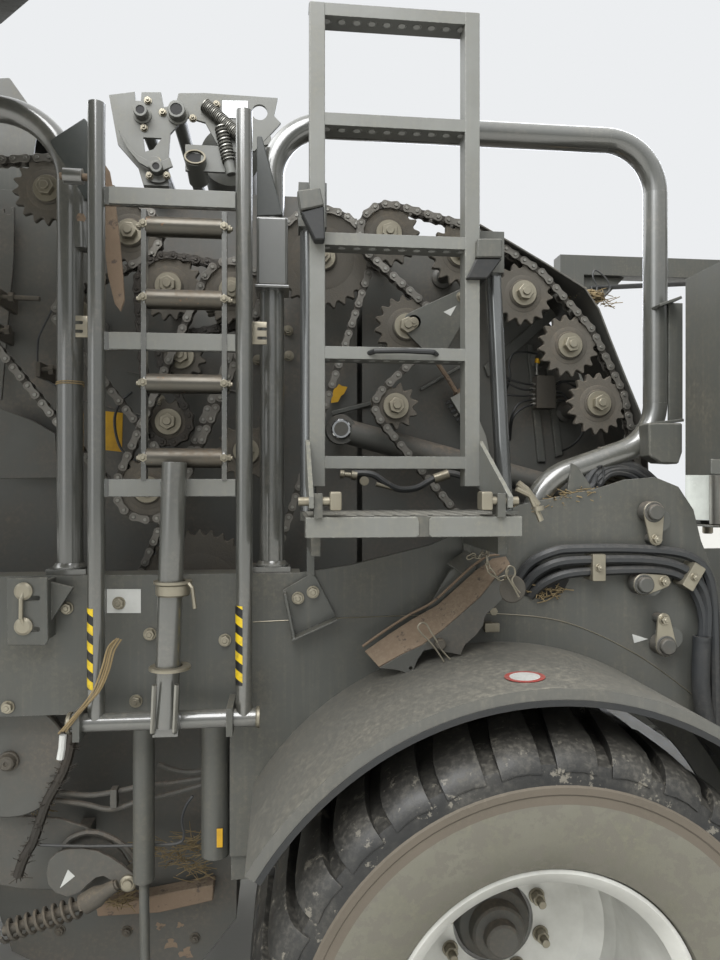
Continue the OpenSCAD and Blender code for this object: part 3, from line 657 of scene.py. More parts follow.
def chain_loop(drive, steps=24):
    """The pitch line of a chain round its sprockets, counter-clockwise, as (x, z) points."""
    found = []
    count = len(drive)
    wheels = [(x, z, r * side) for x, z, r, teeth, side in drive]

    def heading(p, q):
        """Direction of the straight run from one wheel to the next."""
        dx = q[0] - p[0]
        dz = q[1] - p[1]
        return math.atan2(dz, dx) - math.asin((q[2] - p[2]) / math.hypot(dx, dz))

    for i, wheel in enumerate(wheels):
        start = heading(wheels[i - 1], wheel)
        end = heading(wheel, wheels[(i + 1) % count])
        sweep = (end - start) % math.tau
        if wheel[2] < 0 and sweep:
            sweep -= math.tau
        for k in range(steps + 1):
            angle = start + sweep * k / steps
            found.append(Vector((
                wheel[0] + wheel[2] * math.sin(angle),
                wheel[1] - wheel[2] * math.cos(angle),
            )))
    return found


def link_places(drive, pitch, plane):
    """Matrices of the links along a loop, each stretched a hair so that a whole number fits."""
    line = chain_loop(drive)
    line.append(line[0])
    runs = [(b - a).length for a, b in zip(line, line[1:])]
    total = sum(runs)
    count = 2 * round(total / pitch / 2)
    step = total / count
    points = []
    travelled = 0.0
    part = 0
    for i in range(count + 1):
        target = min(i * step, total - 0.001)
        while travelled + runs[part] < target and part < len(runs) - 1:
            travelled += runs[part]
            part += 1
        share = (target - travelled) / runs[part] if runs[part] else 0
        points.append(line[part].lerp(line[part + 1], share))
    places = []
    for a, b in zip(points, points[1:]):
        angle = math.atan2(b.y - a.y, b.x - a.x)
        middle = (a + b) / 2
        places.append(
            Matrix.Translation(Vector((middle.x, -plane, middle.y)) / 1000)
            @ Matrix.Rotation(-angle, 4, "Y")
            @ Matrix.Diagonal(((b - a).length / pitch, 1, 1, 1))
        )
    return places


def link_shape(pitch, high, waist):
    """Outline of one chain plate, with its pin holes half a pitch either side of the middle."""
    half = pitch / 2
    points = []
    for side in (1, -1):
        for k in range(7):
            angle = math.radians(-80 + k * 160 / 6)
            points.append((side * (half + high * math.cos(angle)), side * high * math.sin(angle)))
        points.append((0, side * waist))
    return points


def make_links(pitch):
    """The inner link with its rollers, the outer link's plates, and its pins."""
    inner = [plate("inner_plate", link_shape(pitch, 12, 8.6), y, 3.6, 0.7) for y in (-13.2, 9.6)]
    outer = [plate("outer_plate", link_shape(pitch, 12.5, 9), y, 3.6, 0.7) for y in (-17.2, 13.6)]
    pins = []
    for x in (-pitch / 2, pitch / 2):
        inner.append(turned(
            "link_roller", [(9.3, -9.4), (9.3, 9.4), (5, 9.4), (5, -9.4)], (x, 0, 0), RIGHT, 10,
        ))
        pins.append(turned("link_pin", [
            (0, -20.4), (4.6, -20.4), (5.6, -19.2), (5.6, 19), (0, 19.6),
        ], (x, 0, 0), RIGHT, 9))
    return joined("inner_link", inner), joined("outer_link", outer), joined("link_pins", pins)


def make_chain(name, drive, plane, models, finish, body):
    """A chain on both sides; oiled chains show pale pins and dark inner links, partly painted shade between
    the outer plates.
    """
    places = link_places(drive, bpy.context.scene.baler_sizes.chain_pitch * 1000, plane)
    inner = copies(name + "_inner", models[0], places[0::2])
    outer = copies(name + "_outer", models[1], places[1::2])
    oiled = finish == "oiled_chain_steel"
    pins = both(copies(name + "_pins", models[2], places[1::2]))
    dress(pins, "bare_steel" if oiled else finish, body)
    dress(both(inner), "inner_link_steel_and_shade" if oiled else finish, body)
    return dress(both(outer), finish, body)


def gate_drive():
    """The tailgate's drive: the row of sprockets along its rim, then the idlers."""
    x, z, r = RING
    ring = [
        (x + r * math.cos(math.radians(a)), z + r * math.sin(math.radians(a)), 84, 16, 1)
        for a in reversed(GATE_ANGLES)
    ]
    return tuple(ring) + GATE_IDLERS


def tooth_outline(radius, teeth, top=9.0, root=8.5):
    """Outline of a roller chain sprocket: round seats between narrow tips."""
    points = []
    step = math.tau / teeth
    for i in range(teeth):
        for share, rise in (
            (-0.5, -root), (-0.36, -root + 1.5), (-0.22, 0), (-0.1, top - 2), (0, top), (0.1, top - 2),
            (0.22, 0), (0.36, -root + 1.5),
        ):
            angle = (i + share) * step
            points.append(((radius + rise) * math.cos(angle), (radius + rise) * math.sin(angle)))
    return points


def make_sprocket(radius, teeth, hub, boss):
    """A toothed disc with thinned teeth, a turned recess and its boss, facing negative Y."""
    toothed = plate("sprocket_disc", tooth_outline(radius, teeth), -9, 18, 2.6)
    ring = turned("sprocket_ring", [
        (hub, -9.5), (hub, -boss + 3), (hub - 3, -boss), (24, -boss), (24, boss), (hub - 3, boss),
        (hub, boss - 3), (hub, 9.5),
    ], (0, 0, 0), LEFT, 28)
    rim = turned("sprocket_step", [
        (radius * 0.62, -10.5), (radius * 0.66, -9), (radius * 0.66, -8.5), (radius * 0.4, -8.5),
        (radius * 0.4, -10.5),
    ], (0, 0, 0), RIGHT, 28)
    return joined("sprocket_model", [toothed, ring, rim])


def place_sprockets(name, drive, plane, body, nut):
    """Sprockets of one drive, with washers and nuts on the shafts' ends."""
    models = {}
    parts = []
    for x, z, radius, teeth, side in drive:
        if (radius, teeth) not in models:
            models[(radius, teeth)] = make_sprocket(radius, teeth, 34 if radius < 70 else 42, BOSS)
        turn = Matrix.Translation(Vector((x, -plane, z)) / 1000) @ Matrix.Rotation(x * 0.37, 4, "Y")
        parts.append(copies(name + "_one", models[(radius, teeth)], [turn]))
    drop(*models.values())
    piece = both(joined(name, parts))
    top = -plane - BOSS
    nuts = copies(name + "_nuts", nut, [at((x, top, z), LEFT, (x * 7) % 60) for x, z, *rest in drive])
    dress(both(nuts), "zinc_plate", body)
    return dress(piece, "dusty_cast_steel", body)


def hex_nut(name, size, high, stud, stud_high, washer=None, washer_high=4):
    """A hexagon nut with chamfered corners on a washer, with the stud's end in it."""
    clear()
    bpy.ops.mesh.primitive_cylinder_add(
        vertices=6, radius=size / 2 / math.cos(math.pi / 6) / 1000, depth=high / 1000,
        location=(0, 0, (high / 2 + (washer_high if washer else 0)) / 1000),
    )
    body = soften(settle("nut_body"), size * 0.06, 2, 50)
    parts = [body]
    base = washer_high if washer else 0
    top = base + high
    parts.append(turned("nut_stud", [
        (0, top - 2), (stud / 2, top - 2), (stud / 2, top + stud_high - 1.5),
        (stud / 2 - 1.5, top + stud_high), (0, top + stud_high),
    ], sides=16))
    if washer:
        parts.append(turned("nut_washer", [
            (0, 0), (washer / 2, 0), (washer / 2, washer_high - 0.8), (washer / 2 - 0.8, washer_high),
            (0, washer_high),
        ], sides=28))
    return joined(name, parts)


class BALER_OT_chains(bpy.types.Operator):
    """Roller chains made of links, along the loops of the side drives"""

    bl_idname = "baler.chains"
    bl_label = "Drive chains"

    def execute(self, context):
        pitch = context.scene.baler_sizes.chain_pitch * 1000
        models = make_links(pitch)
        fixed = (
            ("feed_chain", FEED_DRIVE, MIDDLE, "oiled_chain_steel"),
            ("net_chain", NET_DRIVE, MIDDLE, "greasy_chain_steel"),
            ("link_chain", LINK_DRIVE, OUTER, "oiled_chain_steel"),
            ("chamber_chain", CHAMBER_DRIVE, INNER, "oiled_chain_steel"),
        )
        for name, drive, plane, finish in fixed:
            piece = make_chain(name, drive, plane, models, finish, "machine")
            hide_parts("front_chains")
        piece = make_chain("gate_chain", gate_drive(), GATE, models, "oiled_chain_steel", "tailgate")
        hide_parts("tailgate_chains")
        drop(*models)
        return {"FINISHED"}


class BALER_OT_sprockets(bpy.types.Operator):
    """Sprockets with their bosses, washers and nuts"""

    bl_idname = "baler.sprockets"
    bl_label = "Sprockets"

    def execute(self, context):
        nut = hex_nut("shaft_nut", 42, 20, 24, 6, 74, 6)
        drives = (
            ("feed_sprockets", FEED_DRIVE, MIDDLE, "machine", "front_sprockets"),
            ("net_sprockets", NET_DRIVE, MIDDLE, "machine", "front_sprockets"),
            ("spare_sprocket", SPARE_DRIVE, MIDDLE, "machine", "front_sprockets"),
            ("link_sprockets", LINK_DRIVE, OUTER, "machine", "front_sprockets"),
            ("chamber_sprockets", CHAMBER_DRIVE, INNER, "machine", "front_sprockets"),
            ("gate_sprockets", gate_drive(), GATE, "tailgate", "tailgate_sprockets"),
        )
        shafts = []
        gate_shafts = []
        for name, drive, plane, body, stands_for in drives:
            piece = place_sprockets(name, drive, plane, body, nut)
            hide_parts(stands_for)
            inner = WALL + 18 if body == "tailgate" else WALL
            for x, z, *rest in drive:
                shaft = turned("shaft_one", [
                    (0, 0), (34, 0), (34, 12), (22, 20), (22, plane - inner + 10), (0, plane - inner + 10),
                ], (x, -inner - 0.5, z), LEFT, 24)
                (gate_shafts if body == "tailgate" else shafts).append(shaft)
        fit_both("drive_shafts", shafts, "grimy_coat")
        fit_both("gate_shafts", gate_shafts, "grimy_coat", "tailgate")
        drop(nut)
        return {"FINISHED"}


# Wheels

# Lugs on each half of a tyre's tread
LUGS = 30
# Radii, in metres, from which the tyre's body is black with tread rubber and brown where it flexes
BLACK_FROM = 0.566
BROWN_FROM = 0.522


def tread_radius(y):
    """Radius of the lugs' tops at a distance y from the tyre's middle plane."""
    spots = ((0, 654), (180, 652), (265, 648), (305, 640), (332, 622), (346, 602), (351, 584))
    y = abs(y)
    for (a, ra), (b, rb) in zip(spots, spots[1:]):
        if y <= b:
            return ra + (rb - ra) * (y - a) / (b - a)
    return spots[-1][1]


def make_lug(height):
    """One tread lug, from the tyre's middle round its shoulder, on the side of negative Y."""
    clear()
    bpy.ops.mesh.primitive_grid_add(x_subdivisions=3, y_subdivisions=11, size=1)
    piece = bpy.context.object
    across = (8, -40, -95, -150, -205, -250, -285, -312, -332, -344, -349, -350)
    mesh = piece.data
    rows = sorted({round(v.co.y, 4) for v in mesh.vertices}, reverse=True)
    for vertex in mesh.vertices:
        row = rows.index(round(vertex.co.y, 4))
        y = across[row]
        share = vertex.co.x * 2
        wide = 36 + 13 * min(1, abs(y) / 300)
        sweep = 70 * (1 - min(1, abs(y) / 330)) ** 1.3
        radius = tread_radius(y) - 5 * abs(share) ** 3
        angle = (share * wide + sweep) / 640
        vertex.co = (radius * math.sin(angle) / 1000, y / 1000, radius * math.cos(angle) / 1000)
    modify(piece, "SOLIDIFY", thickness=height / 1000, offset=-1)
    bpy.ops.object.mode_set(mode="EDIT")
    face_outwards()
    return soften(piece, 5, 2, 50)


class BALER_OT_wheels(bpy.types.Operator):
    """Tyres with lugs, rims with studs, hubs, fender edges and blank signs"""

    bl_idname = "baler.wheels"
    bl_label = "Wheels"

    def execute(self, context):
        lug = make_lug(context.scene.baler_sizes.lug_height * 1000)
        step = 360 / LUGS
        turns = [Matrix.Rotation(math.radians(i * step), 4, "Y") for i in range(LUGS)]
        flipped = Matrix.Rotation(math.pi, 4, "Z")
        half = Matrix.Rotation(math.radians(step / 2), 4, "Y")
        lugs = copies("lugs", lug, turns + [t @ half @ flipped for t in turns])
        drop(lug)
        body = turned("tyre_body", [
            (337.5, 285), (361, 297), (366, 318), (400, 336), (440, 346), (480, 353), (520, 353),
            (538, 351), (542, 354), (556, 354), (560, 350), (578, 348), (600, 338), (612, 305),
            (619, 260), (620, 0), (619, -260), (612, -305), (600, -338), (578, -348), (560, -350),
            (556, -354), (542, -354), (538, -351), (520, -353), (480, -353), (440, -346), (400, -336),
            (366, -318), (361, -297), (337.5, -285),
        ], (0, 0, 0), RIGHT, 96, 25)
        rim = turned("rim_model", [
            (322, -290), (338, -304), (352, -311), (360, -309), (361, -304), (340, -295), (337, -284),
            (337, -200), (316, -150), (316, 150), (337, 200), (337, 284), (340, 295), (361, 304), (360, 309),
            (352, 311), (338, 304), (322, 290), (322, 205), (304, 150), (304, -150), (322, -205),
        ], (0, 0, 0), RIGHT, 96, 25)
        dish = turned("rim_disc", [
            (304, -40), (310, -20), (292, 50), (250, 86), (200, 98), (112, 105), (110, 111), (114, 117),
            (202, 110), (256, 97), (300, 60), (316, -10),
        ], (0, 0, 0), RIGHT, 96, 25)
        hub = turned("hub_model", [
            (0, 10), (38, 10), (44, 14), (46, 40), (66, 44), (72, 50), (74, 84), (96, 92), (104, 110),
            (104, 220), (0, 220),
        ], (0, 0, 0), RIGHT, 64)
        nut = hex_nut("stud_nut", 32, 22, 22, 24, 44)
        studs = [
            Matrix.Rotation(math.radians(i * 45 + 12), 4, "Y") @ at((0, 103, 137.5), LEFT, i * 17)
            for i in range(8)
        ]
        nuts = copies("stud_nuts", nut, studs)
        drop(nut)
        # The crown and the shoulder are black, the ring below them brown, the rest olive
        zones = []
        for face in body.data.polygons:
            radius = math.hypot(face.center.x, face.center.z)
            zones.append(1 if radius > BLACK_FROM else 2 if radius > BROWN_FROM else 0)
        for corner, row, side in (("fl", 0, -1), ("fr", 0, 1), ("rl", 1, -1), ("rr", 1, 1)):
            turn = Matrix.Rotation(math.pi if side > 0 else 0, 4, "Z")
            place = Matrix.Translation(Vector((AXLES[row], side * TYRE_Y, AXLE_Z)) / 1000)
            place = place @ turn @ Matrix.Rotation(math.radians(5 + 21 * row), 4, "Y")
            wheel = "wheel_" + corner
            parts = (
                (lugs, "tyre_lugs_", "tread_rubber", "tyre"),
                (body, "tyre_body_", "sidewall_rubber", "tyre"),
                (rim, "rim_well_", "silver_enamel", "rim_paint"),
                (dish, "rim_disc_", "silver_enamel", "rim_paint"),
                (hub, "hub_", "grimy_coat", "painted_steel"),
                (nuts, "wheel_nuts_", "zinc_plate", "worn_steel"),
            )
            for model, name, finish, slot in parts:
                piece = copies(name + corner, model, [place])
                soften(piece, 0, angle=35)
                dress(piece, finish, wheel)
                if model is body:
                    piece.data.materials.append(FINISHES["tread_rubber"])
                    piece.data.materials.append(FINISHES["browned_rubber"])
                    piece.data.polygons.foreach_set("material_index", zones)
                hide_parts(("tyre_" if model in (lugs, body) else "rim_") + corner)
        drop(lugs, body, rim, dish, hub, nuts)
        edges = []
        for axle, first, last in ((AXLES[0], 25, 148), (AXLES[1], 32, 155)):
            arcs = []
            for radius, angles in (
                (FENDER - 24, range(first, last + 1, 3)), (FENDER - 38, range(last, first - 1, -3)),
            ):
                for turn in angles:
                    a = math.radians(turn)
                    arcs.append((axle + radius * math.cos(a), AXLE_Z + radius * math.sin(a)))
            edges.append(plate("fender_edge", arcs, -1492, 9, 2, 2))
        fit_both("fender_edges", edges, "moulded_plastic")
        lean = (-35 / FENDER, 0, 1)
        for radius, high, finish in ((45, 0.8, "red_vinyl"), (34, 1.1, "white_vinyl")):
            sign = turned("blank_round_sign", disc(radius, high), (535, -1393, 1421.2), lean, 48)
            dress(both(sign), finish)
        return {"FINISHED"}


# Guards, roll lift, ladder and platform

TOP_WEDGE = ((50, 140), (84, 118), (90, 124), (92, 196), (86, 200), (52, 146))
POST_WEDGE = ((257, 137), (262, 137), (283, 216), (257, 217))
LEVER = (
    (102, 160), (110, 172), (116, 205), (120, 240), (123, 270), (125, 300), (121, 312), (115, 304),
    (108, 275), (104, 240),
)
TABS = (((76, 316), (90, 338)), ((252, 322), (267, 345)))
BUSH = ((64, 176), (83, 177))
BUSH_PIN = ((60, 176), (96, 178))
BUSH_LEG = ((80, 188), (82, 250))
BUSH_BOLT = (81, 218)
CLAMP_RING = (173, 588)
LOW_RING = (170, 667)
TWINE_WRAP = 386
# Planes of the guard hoops, the hinge bushes and the roll lift, and the heights of its rollers
HOOP_Y = -980
BUSH_Y = -1075
LIFT_Y = -1122
ROLLERS_Z = (1917, 2102, 2312, 2492)


class BALER_OT_guards(bpy.types.Operator):
    """Sleeve, wedges, tabs and bushes on the guard hoops"""

    bl_idname = "baler.guards"
    bl_label = "Guard fittings"

    def execute(self, context):
        sleeve = block("post_sleeve", (-73, -1036, 2380), (10, -936, 2562), 8, 3)
        lips = block("post_sleeve_lip", (-77, -1039, 2372), (14, -933, 2380))
        wedge = plate("post_wedge", flat(POST_WEDGE, -1010), -1016, 40, 2)
        top = plate("lift_wedge", flat(TOP_WEDGE, -1012), -1013, 40, 2)
        leg = tube("bush_leg", line(BUSH_LEG, -986), 52, 24)
        bush = tube("hinge_bush", line(BUSH, BUSH_Y), 40, 24)
        collar = [(33.6, 0), (44, 0), (44, 4), (40, 8), (36, 14), (33.6, 14)]
        feet = [turned("post_collar", collar, (x, HOOP_Y, 1632), UP, 40) for x in (-1860, -563, -33)]
        # The wedges take the coat painted darker: painted shade
        fit_both("guard_wedges", [wedge, top], "shaded_coat")
        piece = both(joined("guard_fittings", [sleeve, lips, leg, bush] + feet))
        dress(piece, "coated_tube")
        pin = tube("hinge_pin", line(BUSH_PIN, BUSH_Y), 18, 16)
        bolt = tube("bush_bolt", [seen(BUSH_BOLT, -1005), seen(BUSH_BOLT, -1013)], 26, 8)
        fit_both("hinge_pins", [pin, bolt], "rusty_plate")
        blade = plate("lever_blade", flat(LEVER, -1000), -1004, 8, 1.5)
        dress(blade, "rusty_plate")
        tabs = []
        for low, high in TABS:
            a = seen(low, -1100)
            b = seen(high, -1100)
            tab = block("slotted_tab", (a.x, -1106, b.z), (b.x, -1101, a.z), 1.5)
            wide = b.x - a.x
            for share in (0.28, 0.68):
                z = b.z + (a.z - b.z) * share
                left = a.x if low == TABS[0][0] else a.x + wide * 0.45
                tool = block("slot", (left - 4, -1110, z - 4), (left + wide * 0.55, -1096, z + 4), 3)
                cut(tab, tool)
            tabs.append(tab)
        fit("slotted_tabs", tabs, "zinc_plate")
        z = seen((65, TWINE_WRAP), HOOP_Y).z
        turns = [
            (
                -563 + 34.5 * math.cos(k * 0.35), HOOP_Y + 34.5 * math.sin(k * 0.35),
                z + k * 0.12 + 2 * math.sin(k * 0.1),
            )
            for k in range(80)
        ]
        twine = tube("post_twine", turns, 3.6, 8)
        dress(twine, "dry_crop")
        return {"FINISHED"}


class BALER_OT_roll_lift(bpy.types.Operator):
    """Roller sleeves, threaded rods, tape, clamp and rings of the roll lift"""

    bl_idname = "baler.roll_lift"
    bl_label = "Roll lift fittings"

    def execute(self, context):
        sleeve = [(8, -95), (21, -95), (24.5, -92), (24.5, 92), (21, 95), (8, 95)]
        sleeves = [turned("lift_sleeve", sleeve, (-246, LIFT_Y, z), BACK) for z in ROLLERS_Z]
        fit("lift_sleeves", sleeves, "rubbed_steel", "roll_lift")
        nut = hex_nut("lift_nut", 19, 9, 12, 5)
        spots = []
        for z in ROLLERS_Z:
            spots.append(at((-350, LIFT_Y - 1, z), AHEAD))
            spots.append(at((-142, LIFT_Y - 1, z), BACK))
            spots.append(at((-344, LIFT_Y - 16, z), LEFT))
            spots.append(at((-148, LIFT_Y - 16, z), LEFT))
        nuts = copies("lift_nuts", nut, spots)
        drop(nut)
        dress(nuts, "zinc_plate", "roll_lift")
        straps = [
            block("strap_face", (-428, LIFT_Y - 13, z - 21), (-121, LIFT_Y - 7, z + 21), 1.5)
            for z in (1843, 2205, 2562)
        ]
        fit("lift_straps", straps, "painted_sky_light_coat", "roll_lift")
        tapes = []
        for x in (-460, -100):
            bend = [math.radians(178 + k * 12) for k in range(8)]
            low = [Vector((x + 21.6 * math.cos(a), LIFT_Y + 21.6 * math.sin(a), 1350)) for a in bend]
            tapes.append(strip("tape_strip", low, [place + Vector((0, 0, 198)) for place in low], 0.8, 0))
        tape = joined("hazard_tape", tapes)
        dress(tape, "hazard_tape", "roll_lift")
        ring = seen(CLAMP_RING, -1165)
        low = seen(LOW_RING, -1165)
        clamp = turned("mast_clamp", [
            (30.5, 0), (38, 0), (41, 4), (41, 26), (46, 30), (46, 36), (30.5, 36),
        ], (ring.x, -1166, ring.z - 18), UP, 40)
        flange = turned("mast_flange", [
            (30.5, 0), (50, 0), (50, 6), (47, 8), (30.5, 8),
        ], (low.x, -1166, low.z - 4), UP, 40)
        handle = tube("clamp_handle", bent([
            (ring.x + 40, -1186, ring.z + 14), (ring.x + 58, -1192, ring.z + 12),
            (ring.x + 56, -1196, ring.z - 46),
        ], 10, 5), 10, 10)
        stop = [(0, -5), (24, -5), (27, -2), (27, 5), (0, 5)]
        end_stops = [turned("pivot_end", stop, (x, LIFT_Y, 1265), BACK, 28) for x in (-524, -66)]
        piece = joined("lift_rings", [clamp, flange, handle] + end_stops)
        dress(piece, "zinc_plate", "roll_lift")
        hooks = [
            tube("u_bolt", bent([
                (x, -1205, 1375), (x - 8, -1205, 1250), (x - 8, -1150, 1228), (x - 8, -1120, 1240),
            ], 14, 4), 12, 10)
            for x in (-306, -254)
        ]
        fit("u_bolts", hooks, "bare_steel", "roll_lift")
        return {"FINISHED"}


class BALER_OT_ladder(bpy.types.Operator):
    """Punched rungs, end boxes, grab handle and pins of the ladder and the platform"""

    bl_idname = "baler.ladder"
    bl_label = "Ladder and platform fittings"

    def execute(self, context):
        holes = []
        rims = []
        # White discs in the rungs' holes: painted light, standing for the bright sky seen through them
        hole = turned("rung_hole_sky_disc", [(0, -0.4), (8.5, -0.4), (8.5, 0.4), (0, 0.4)], sides=16)
        rim = turned("hole_rim", [(8.2, -0.6), (10.5, -1.4), (12, 0), (10.5, 0.5), (8.2, 0.3)], sides=18)
        for z in (2172, 2448, 2739, 3005):
            for i in range(10):
                x = 62 + 42 + i * 37.4
                holes.append(at((x, -1186, z - 15.3), DOWN))
                rims.append(at((x, -1186, z - 15.2), DOWN))
        dress(copies("rung_hole_sky_light", hole, holes), "white_vinyl", "ladder")
        dress(copies("rung_rims", rim, rims), "painted_sky_light_coat", "ladder")
        drop(hole, rim)
        grip = tube("rung_grip", bent([
            (206, -1206, 2172), (206, -1238, 2176), (290, -1240, 2176), (375, -1238, 2176),
            (375, -1206, 2172),
        ], 14, 4), 13)
        dress(grip, "moulded_plastic", "ladder")
        caps = [
            block("stile_cap", (60, -1202, 3018), (100, -1158, 3024)),
            block("stile_cap", (444, -1202, 3018), (484, -1158, 3024)),
        ]
        fit("stile_caps", caps, "moulded_plastic", "ladder")
        # The stiles' faces take the coat painted paler: painted sky light
        stiles = [block("stile_face", (x - 1, -1211.5, 1846), (x + 37, -1158, 3021), 3) for x in (62, 446)]
        fit("stile_faces", stiles, "painted_sky_light_coat", "ladder")
        tops = [
            plate("stop_top", flat(((297, 191), (320, 188), (324, 206), (301, 211)), -1250), -1255, 40, 3),
            plate("stop_top", flat(((477, 239), (502, 239), (502, 258), (476, 258)), -1225), -1230, 60, 3),
        ]
        fit("stop_tops", tops, "powder_coated_steel", "ladder")
        wedges = [
            plate(
                "stop_wedge", flat(((301, 212), (324, 206), (325, 240), (315, 240)), -1246), -1250, 36, 3,
            ),
            plate(
                "stop_wedge", flat(((476, 259), (502, 259), (487, 279), (466, 279)), -1221), -1226, 56, 3,
            ),
        ]
        fit("stop_wedges", wedges, "moulded_plastic", "ladder")
        rails = [
            tube("grab_rail", [(61, -1120, 1784), (61, -1120, 2528)], 42, 24),
            tube("grab_rail", [(574.6, -1120, 1784), (541.2, -1120, 2428)], 42, 24),
        ]
        for rail in rails:
            soften(rail, 0, angle=50)
        fit("grab_rail_sleeves", rails, "hand_rail")
        # Raised bars of the platform's tread, 30 mm long on a 39 by 20 mm pitch
        bar = block("tread_bar", (-15, -2.5, 0), (15, 2.5, 3.4), 1.4, 1)
        spots = []
        for row in range(17):
            for i in range(12):
                x = 64 + i * 39 + (19 if row % 2 else 0)
                if x < 505:
                    spots.append(at((x, -1408 + row * 20, 1781.5), UP, 35 if row % 2 else -35))
        tread = copies("platform_tread", bar, spots)
        drop(bar)
        dress(tread, "scuffed_coat")
        lip = [
            plate(
                "platform_lip",
                [(46, 1781), (286, 1781), (290, 1768), (290, 1742), (284, 1737), (46, 1737)], -1424, 5,
            ),
            plate(
                "platform_lip",
                [(318, 1781), (519, 1781), (519, 1737), (318, 1737), (312, 1742), (312, 1775)], -1424, 5,
            ),
        ]
        fit("platform_lips", lip, "painted_sky_light_coat")
        pins = [
            tube("hinge_pin", [(30, -1420, 1815), (100, -1420, 1815)], 20, 16),
            tube("hinge_pin", [(448, -1420, 1815), (510, -1420, 1815)], 20, 16),
            tube("lock_pin", bent([
                (515, -1395, 1842), (560, -1395, 1842), (572, -1395, 1770),
            ], 16, 5), 14),
        ]
        fit("platform_pins", pins, "zinc_plate")
        blocks = [
            block("pivot_block", (96, -1438, 1795), (122, -1398, 1836), 5),
            block("pivot_block", (424, -1438, 1795), (450, -1398, 1836), 5),
        ]
        fit("pivot_blocks", blocks, "zinc_plate", "ladder")
        return {"FINISHED"}


# Plate of the side frame, with its pins, hoses and brackets. Its face lies in this plane

SIDE = -1031
FRAME_BOLTS = ((67, 608), (150, 634), (8, 707), (136, 701), (119, 603), (225, 640))
PIN_BOSSES = (((652, 512), (654, 539)), ((642, 584), (662, 581)), ((664, 645), (662, 619)))
NAME_PLATE = ((107, 589), (141, 589), (141, 613), (107, 613))
MARK = ((632, 634), (648, 639), (634, 643))
SLOTTED_PLATE = ((7, 578), (48, 577), (49, 640), (46, 645), (8, 645))
GUSSET = ((49, 581), (74, 587), (49, 625))
HANDLE = ((24, 591), (15, 595), (14, 624), (24, 626))
BENT_FACE = ((283, 590), (310, 574), (316, 577), (336, 616), (292, 636), (284, 598))
BENT_BOLTS = ((298, 598), (313, 592))
HOSE_HOLE = ((514, 580), (524, 568), (540, 564), (560, 568), (569, 580), (562, 593), (545, 599), (524, 596))
HOSES = (
    (
        (516, 582), (530, 563), (552, 552), (574, 549), (636, 549), (683, 554), (705, 570), (713, 601),
        (715, 660), (716, 730),
    ),
    (
        (522, 591), (534, 575), (556, 563), (589, 560), (646, 560), (680, 567), (699, 583), (707, 605),
        (707, 636),
    ),
    (
        (530, 596), (544, 583), (566, 574), (599, 571), (655, 570), (683, 578), (697, 597), (703, 620),
        (702, 640),
    ),
)
CLAMPS = ((596, 567), (690, 576))
CONDUIT = ((702, 636), (701, 660), (701, 690), (706, 722), (716, 750))
SEAM = ((253, 622), (340, 618), (430, 615), (502, 614), (568, 623), (636, 654), (693, 695), (722, 720))


